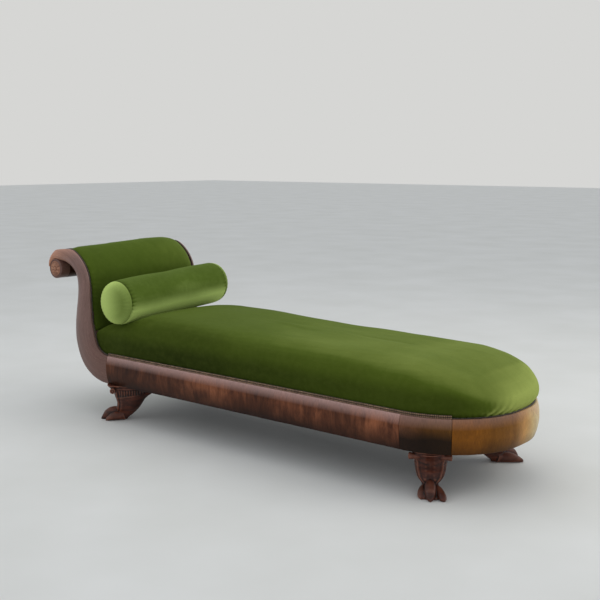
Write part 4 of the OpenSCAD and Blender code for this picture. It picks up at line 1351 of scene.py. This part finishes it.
def make_outside_back():
    """Thin stuffed panel that closes the back of the head between the arms."""
    first, last = int(BACK_FROM * ARM_STEPS), int(BACK_TO * ARM_STEPS)
    width = HALF_W - ARM_T - FIT_GAP
    across = np.linspace(-1, 1, 33)
    rings = []
    for i in range(first, last + 1, 2):
        end = min(1, (i - first) / 12, (last - i) / 12)
        outer = [(s * width, -BACK_CROWN * (1 - abs(s) ** 6) * end) for s in across]
        outline = outer + [(width, BACK_T), (-width, BACK_T)]
        rings.append(arm_ring(i, [(y, arm_width[i] - rise) for y, rise in outline]))
    panel = make_object("outside_back_piece", *plain_skin(rings), sharp=50)
    lay_painted_light(panel, lambda p, _: np.full(len(p), 0.4))
    dress(panel, HEAD_VELVET, replaces=["outside_back"])


# The bolster's middle, how its far end rises, the bulge and radius of its caps, and the
# radius and number of their gathers
BOLSTER_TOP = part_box("bolster_body")[1].z / MM
BOLSTER_MID = np.array([JOINT_X + BOLSTER_X, 0.0, BOLSTER_TOP - BOLSTER_R + 2])
BOLSTER_RISE = 0.044
CAP_DOME = BOLSTER_CAP + 21
CAP_R = 84.5
PLEAT_R = 84
PLEATS = 34


def bolster_point(along, x, y):
    """From the bolster's own place, its length and two across, to the frame."""
    a = math.radians(BOLSTER_TURN)
    direction = np.array([-math.sin(a), math.cos(a)])
    across = np.array([math.cos(a), math.sin(a)])
    plan = BOLSTER_MID[:2] + along * direction + x * across
    return plan[0], plan[1], BOLSTER_MID[2] + y + along * BOLSTER_RISE


def bolster_place(points):
    """The bolster's own place of points in the frame: length, angle and radius."""
    a = math.radians(BOLSTER_TURN)
    d = points - BOLSTER_MID
    along = -d[:, 0] * math.sin(a) + d[:, 1] * math.cos(a)
    x = d[:, 0] * math.cos(a) + d[:, 1] * math.sin(a)
    up = d[:, 2] - along * BOLSTER_RISE
    return along, np.arctan2(up, x), np.hypot(x, up)


def make_bolster():
    """The loose bolster, which lies on the seat and lifts off it."""
    half = BOLSTER_LEN / 2
    end = [(0.01, -half + 1)] + [(r, -half + 1) for r in np.linspace(10, 78, 9)]
    end += [(83.5, -half + 2), (85.2, -half + 5)]
    middle = [(BOLSTER_R - 1.6 * math.exp(-(half - abs(t)) / 18), t)
              for t in np.linspace(-half + 8, half - 8, 73)]
    profile = end + middle + [(r, -t) for r, t in end[::-1]]
    tube = make_object("bolster_velvet_piece",
                       *lathe(profile, 72, lambda x, y, h: bolster_point(h, x, y)))
    tube = remeshed(tube, PAD_VOXEL)
    co = coordinates(tube.data) / MM
    ends = smooth_step(np.abs(bolster_place(co)[0]), half - 16, half - 5)
    below = smooth_step(BOLSTER_MID[2] - co[:, 2], 66, 84)
    under_pressure(tube, np.maximum(ends, below), BOLSTER_MOVE)
    tube = refined(tube)

    def pleat(along, angle):
        return ripple(angle * BOLSTER_R + 9 * np.sign(along), 0.7,
                      2 * math.pi * BOLSTER_R / PLEATS)

    def puckers(p, _):
        along, angle, radius = bolster_place(p)
        from_end = half - np.abs(along)
        gather = (-2.3 * (0.5 + 0.5 * pleat(along, angle))
                  * np.exp(-np.maximum(from_end, 0) / 15))
        slack = 1.5 * np.sin(along / 83 + 1.1) * np.cos(angle * 2 + along / 210)
        slack += 0.8 * np.sin(along / 37 + 2 * np.sin(angle * 3))
        clear = 1 - smooth_step(BOLSTER_MID[2] - p[:, 2], 40, 70)
        return (gather + slack * clear * smooth_step(from_end, 5, 60)) * (radius > 60)
    shift_points(tube, puckers)

    # Painted light and shade: lighter on the front with a painted sheen along the lower front, a
    # little darker towards the far end, and painted shade in the gathers at the ends
    def painted_light_rule(p, _):
        along, angle, _ = bolster_place(p)
        down = -np.degrees(angle)
        lower_front_painted_sheen = smooth_step(down, -8, 34) * smooth_step(-down, -120, -90)
        front = smooth_step(down, -70, 0)
        from_end = np.maximum(half - np.abs(along), 0)
        gather_painted_shade = (0.5 - 0.5 * pleat(along, angle)) * np.exp(-from_end / 9)
        return (0.44 + 0.12 * front + 0.6 * lower_front_painted_sheen - 0.06 * smooth_step(along, 0, half)
                - 0.5 * gather_painted_shade)
    lay_painted_light(tube, painted_light_rule)
    dress(tube, BOLSTER_VELVET, "bolster", ["bolster_body"])
    for side, sign in (("near", -1), ("far", 1)):
        make_bolster_end(side, sign)


def make_bolster_end(side, sign):
    """A domed end of the bolster, with gathers round its seam."""
    half = BOLSTER_LEN / 2
    angles = circle(160)
    pleat = ripple(angles * PLEAT_R, 1.9, 2 * math.pi * PLEAT_R / PLEATS)
    rings = []
    for share in np.linspace(0.004, 1, 40):
        radius = CAP_R * share
        dome = CAP_DOME * max(0, 1 - share ** 2.8) ** 0.6
        fold = 1.7 * pleat * smooth_step(share, 0.5, 0.92) * (1 - smooth_step(share, 0.98, 1))
        rings.append([bolster_point(sign * (half + dome + f - 0.8),
                                    radius * math.cos(a), radius * math.sin(a))
                      for a, f in zip(angles, fold)])
    rings.append([bolster_point(sign * (half - 4), 80 * math.cos(a), 80 * math.sin(a))
                  for a in angles])
    cap = make_object("bolster_end_" + side, *plain_skin(rings))

    # Painted light: brightest on the side towards the head, darker towards the other side, with a
    # painted sheen near the rim
    def painted_light_rule(p, _):
        _, angle, radius = bolster_place(p)
        return (1.0 - 0.45 * smooth_step(radius * np.cos(angle), -60, 85)
                + 0.1 * smooth_step(radius, 55, 80))
    lay_painted_light(cap, painted_light_rule)
    dress(cap, BOLSTER_VELVET, "bolster", ["bolster_cap_" + side])


# ---- Trim along the seams ----

# What a row of knobs is given
ROW_INPUTS = {"Line": "Geometry", "Pitch": "Float", "Length": "Float", "Width": "Float",
              "Height": "Float", "Seed": "Int", "Finish": "Material"}


def row_tree(name):
    """Geometry nodes: a row of small knobs along a line, each turned to it."""
    tree = bpy.data.node_groups.new(name, "GeometryNodeTree")
    face = tree.interface
    for label, kind in ROW_INPUTS.items():
        face.new_socket(label, in_out="INPUT", socket_type="NodeSocket" + kind)
    face.new_socket("Row", in_out="OUTPUT", socket_type="NodeSocketGeometry")
    nodes, links = tree.nodes, tree.links
    start, end = nodes.new("NodeGroupInput"), nodes.new("NodeGroupOutput")

    def add(kind, inputs, **settings):
        node = nodes.new(kind)
        for key, value in settings.items():
            setattr(node, key, value)
        for key, value in inputs.items():
            if isinstance(value, bpy.types.NodeSocket):
                links.new(value, node.inputs[key])
            else:
                node.inputs[key].default_value = value
        return node
    curve = add("GeometryNodeMeshToCurve", {"Mesh": start.outputs["Line"]})
    spaced = add("GeometryNodeResampleCurve", {"Curve": curve.outputs[0],
                                               "Length": start.outputs["Pitch"]}, mode="LENGTH")
    tangent = add("GeometryNodeInputTangent", {})
    facing = add("FunctionNodeAlignRotationToVector", {"Vector": tangent.outputs[0]}, axis="X")
    jitter = add("FunctionNodeRandomValue", {"Min": (0.9, 0.9, 0.9), "Max": (1.1, 1.1, 1.1),
                                             "Seed": start.outputs["Seed"]},
                 data_type="FLOAT_VECTOR")
    size = add("ShaderNodeCombineXYZ", {"X": start.outputs["Length"], "Y": start.outputs["Width"],
                                        "Z": start.outputs["Height"]})
    scaled = add("ShaderNodeVectorMath", {0: size.outputs[0], 1: jitter.outputs[0]},
                 operation="MULTIPLY")
    knob = add("GeometryNodeMeshUVSphere", {"Segments": 8, "Rings": 5, "Radius": 0.5})
    smooth = add("GeometryNodeSetShadeSmooth", {"Geometry": knob.outputs[0]})
    strung = add("GeometryNodeInstanceOnPoints", {"Points": spaced.outputs[0],
                                                  "Instance": smooth.outputs[0],
                                                  "Rotation": facing.outputs[0],
                                                  "Scale": scaled.outputs[0]})
    real = add("GeometryNodeRealizeInstances", {"Geometry": strung.outputs[0]})
    done = add("GeometryNodeSetMaterial", {"Geometry": real.outputs[0],
                                           "Material": start.outputs["Finish"]})
    links.new(done.outputs[0], end.inputs[0])
    return tree


ROW = row_tree("row_of_knobs")


def knob_row(name, lines, material, **values):
    """Bakes the row tree over open lines of points in millimetres; its sizes are in metres."""
    points, edges = [], []
    for line in lines:
        first = len(points)
        points += [tuple(np.array(p) * MM) for p in line]
        edges += [(first + k, first + k + 1) for k in range(len(line) - 1)]
    mesh = bpy.data.meshes.new(name)
    mesh.from_pydata(points, edges, [])
    obj = placed(name, mesh)
    modifier = obj.modifiers.new("row", "NODES")
    modifier.node_group = ROW
    values = {"Finish": material, **values}
    for item in ROW.interface.items_tree:
        if item.item_type == "SOCKET" and item.in_out == "INPUT" and item.name in values:
            modifier[item.identifier] = values[item.name]
    return baked(obj)


# Inner edge of the wooden lip, where the trim starts
INNER_LIP = FACE_TOP + LIP_T
# Sizes of the braid's beads and of the tacks, in metres
BEAD_SIZES = {"Pitch": 0.0066, "Length": 0.0056, "Width": 0.0034, "Height": 0.0040, "Seed": 11}
TACK_SIZES = {"Pitch": 0.045, "Length": 0.008, "Width": 0.008, "Height": 0.0022, "Seed": 3}
# Height of the beads' two rows over the rail, and how far the tacks lie in the rebate
BEADS_UP = (2.2, RAIL_GIMP_UP - 2.2)
TACKS_IN = 6
# Radii of the cords, how far their middle lies from the lip, and the length of one twist
FOOT_CORD_R, ARM_CORD_R = 2.7, 2.6
CORD_IN = INNER_LIP + 2.6
TWIST = 9.0


def braid_band(corner):
    """Braided band that stands on the wooden lip along a rail, or goes on round the corner."""
    inner = INNER_LIP
    top = RAIL_TOP + RAIL_GIMP_UP
    r = GIMP_W / 2
    section = [(inner + 0.3, STEP_TOP + 0.2), (inner - 0.6, RAIL_TOP + 0.4),
               (inner - 1.0, RAIL_TOP + 2.5), (inner - 0.3, RAIL_TOP + 4.5),
               (inner - 0.3, RAIL_TOP + 6.5), (inner - 0.9, top - 2.5)]
    section += [(inner + r - r * math.cos(a), top - r + r * math.sin(a))
                for a in np.radians([30, 60, 90, 120, 150, 180])]
    section += [(inner + GIMP_W, STEP_TOP + 0.2)]
    if corner:
        return swept(section, np.linspace(0.5, CORNER_LEN - 1, 30))
    return swept(section, np.linspace(JOINT_X + 1, FOOT_X - 0.5, 120), foot=False)


def twisted_cord(line, radius, lay):
    """Two-strand cord along a line of (point, outward, upward) frames."""
    line = [[np.array(part, float) for part in frames] for frames in line]
    run = lengths([point for point, _, _ in line])
    rings = []
    for (p, out, up), s in zip(line, run):
        turn = 2 * math.pi * s / lay
        ring = []
        for a in circle(10):
            r = radius * (0.78 + 0.22 * abs(math.cos(a - turn)) ** 0.7)
            ring.append(p + r * (math.cos(a) * out + math.sin(a) * up))
        rings.append(ring)
    return skin(rings, run * MM, girth(rings[0]))


def foot_cord():
    line = []
    for s in np.arange(1.0, FOOT_LEN - 1, 2.0):
        point, out = foot_frame(s)
        line.append(((*(point - CORD_IN * out), RAIL_TOP + 0.7), (*out, 0), (0, 0, 1)))
    return twisted_cord(line, FOOT_CORD_R, TWIST)


def arm_cord():
    line = []
    fine = np.arange(0, CREST_KNOT * ARM_STEPS, 0.45)
    front, back = (np.column_stack([np.interp(fine, np.arange(ARM_LAST + 1), edge[:, k])
                                    for k in (0, 1)]) for edge in (arm_front, arm_back))
    for f, b in zip(front, back):
        down = (b - f) / np.linalg.norm(b - f)
        x, z = f - 0.4 * down
        line.append(((x, CORD_IN - HALF_W, z), (0, -1, 0), (-down[0], 0, -down[1])))
    return twisted_cord(line, ARM_CORD_R, TWIST)


def bead_rows(sign):
    """The two rows of the braid's beads, along a rail and round its corner."""
    inset = INNER_LIP - 0.9
    row = [(x, inset - HALF_W) for x in np.linspace(JOINT_X + 3, FOOT_X, 60)]
    row += round_foot(np.linspace(4, CORNER_LEN - 3, 30), inset)
    return [[(x, sign * y, RAIL_TOP + up) for x, y in row] for up in BEADS_UP]


def make_trim():
    for side, sign in (("near", 1), ("far", -1)):
        for corner in (False, True):
            band = make_object(f"braid_{'corner' if corner else 'rail'}_{side}",
                               *on_side(side, braid_band(corner)), sharp=TRIM_EDGE)
            dress(band, BRAID, replaces=() if corner else ["gimp_rail_" + side])
        beads = knob_row("braid_beads_" + side, bead_rows(sign), BEAD, **BEAD_SIZES)
        dress(beads, BEAD)
        cord = make_object("arm_cord_" + side, *on_side(side, arm_cord()))
        dress(cord, CORD, replaces=["gimp_arm_" + side])
    cord = make_object("foot_cord", *foot_cord())
    dress(cord, CORD, replaces=["gimp_foot_near", "gimp_foot_far", "gimp_foot_bow"])


def make_tacks():
    """Tacks that hold the dust cover in the rebate."""
    inset = RAIL_T - REBATE_W + TACKS_IN
    z = LEG_H - 0.2
    near = [(x, inset - HALF_W, z) for x in np.linspace(JOINT_X + 20, FOOT_X, 40)]
    round_end = [(x, y, z) for x, y in round_foot(np.linspace(0, FOOT_LEN, 60), inset)]
    far = [(x, -y, z) for x, y, z in near]
    tacks = knob_row("dust_cover_tacks", [near + round_end[1:-1] + far[::-1]], TACK,
                     **TACK_SIZES)
    dress(tacks, TACK)


# ---- Inner pieces keep their CAD shape ----

CORNERS = [f"{end}_{side}" for end in ("head", "foot") for side in SIDES]
INNER = {SOFTWOOD: ["crest_board", "back_low_rail", "head_seat_rail", "seat_bearer_head",
                    "seat_bearer_foot", *("corner_block_" + corner for corner in CORNERS),
                    *("leg_dowel_" + corner for corner in CORNERS)],
         JUTE: ["seat_webbing_long", "seat_webbing_cross", "back_webbing"],
         HESSIAN: ["seat_hessian"], DUST: ["dust_cover"],
         WIRE: [f"spring_row_{k}" for k in range(1, 7)]}


def finish_inner():
    """Gives the CAD nodes that stay their finish."""
    for material, names in INNER.items():
        for name in names:
            mesh = NODES[name].data
            mesh.materials.clear()
            mesh.materials.append(material)


# ---- Floor, background and light ----

FLOOR_REACH = 30000.0
SEEN_TONE = tint(214, 214, 212)
ROOM_TONE, ROOM_STRENGTH = tint(232, 236, 242), 0.84


def make_room():
    """Pale floor and a world that is seen as one grey and lights the piece softly."""
    f = Finish("pale_floor")
    mottle = f.noise(f.coords(), 2.0, 3.0, 0.5)
    colour = f.ramp(mottle, [(0.3, tint(213, 213, 208)), (0.7, tint(220, 220, 216))])
    f.set(Base_Color=colour, Roughness=0.75, Specular_IOR_Level=0.2)
    r = FLOOR_REACH
    floor = make_object("floor", [(-r, -r, 0), (r, -r, 0), (r, r, 0), (-r, r, 0)], [(0, 1, 2, 3)])
    floor.data.materials.append(f.material)
    world = bpy.data.worlds.new("room")
    bpy.context.scene.world = world
    world.use_nodes = True
    tree = world.node_tree
    tree.nodes.clear()

    def add(kind, *inputs, **settings):
        node = tree.nodes.new("ShaderNode" + kind)
        for key, value in settings.items():
            setattr(node, key, value)
        for socket, value in zip(node.inputs, inputs):
            if isinstance(value, bpy.types.NodeSocket):
                tree.links.new(value, socket)
            else:
                socket.default_value = value
        return node
    rays = add("LightPath").outputs
    seen = rays["Is Camera Ray"]
    for other in ("Is Glossy Ray", "Is Transmission Ray"):
        seen = add("Math", seen, rays[other], operation="MAXIMUM").outputs[0]
    light = add("Background", ROOM_TONE, ROOM_STRENGTH).outputs[0]
    shown = add("Background", SEEN_TONE, 1.0).outputs[0]
    add("OutputWorld", add("MixShader", seen, light, shown).outputs[0])


def lamp(name, place, target, size, power, colour):
    """A soft rectangular lamp that points at a target."""
    data = bpy.data.lights.new(name, "AREA")
    data.shape = "RECTANGLE"
    data.size, data.size_y = size
    data.energy = power
    data.color = colour[:3]
    obj = placed(name, data)
    obj.location = place
    obj.rotation_euler = (Vector(target) - Vector(place)).to_track_quat("-Z", "Y").to_euler()


# Lamps: place, target, size, power and colour
LAMPS = {"window": ((3.2, 2.0, 2.6), (0.2, 0, 0.3), (2.4, 2.0), 34, tint(255, 252, 246)),
         "ceiling": ((-0.4, 0.3, 3.4), (0, 0, 0.2), (3.2, 2.4), 24, tint(255, 255, 255)),
         "fill": ((-2.6, -3.4, 2.2), (0, 0, 0.3), (2.6, 2.0), 12, tint(246, 248, 255))}

make_rails()
make_arms()
make_legs()
make_seat()
make_headrest()
make_outside_back()
make_bolster()
make_trim()
make_tacks()
finish_inner()
make_room()
for lamp_name, lamp_values in LAMPS.items():
    lamp(lamp_name, *lamp_values)
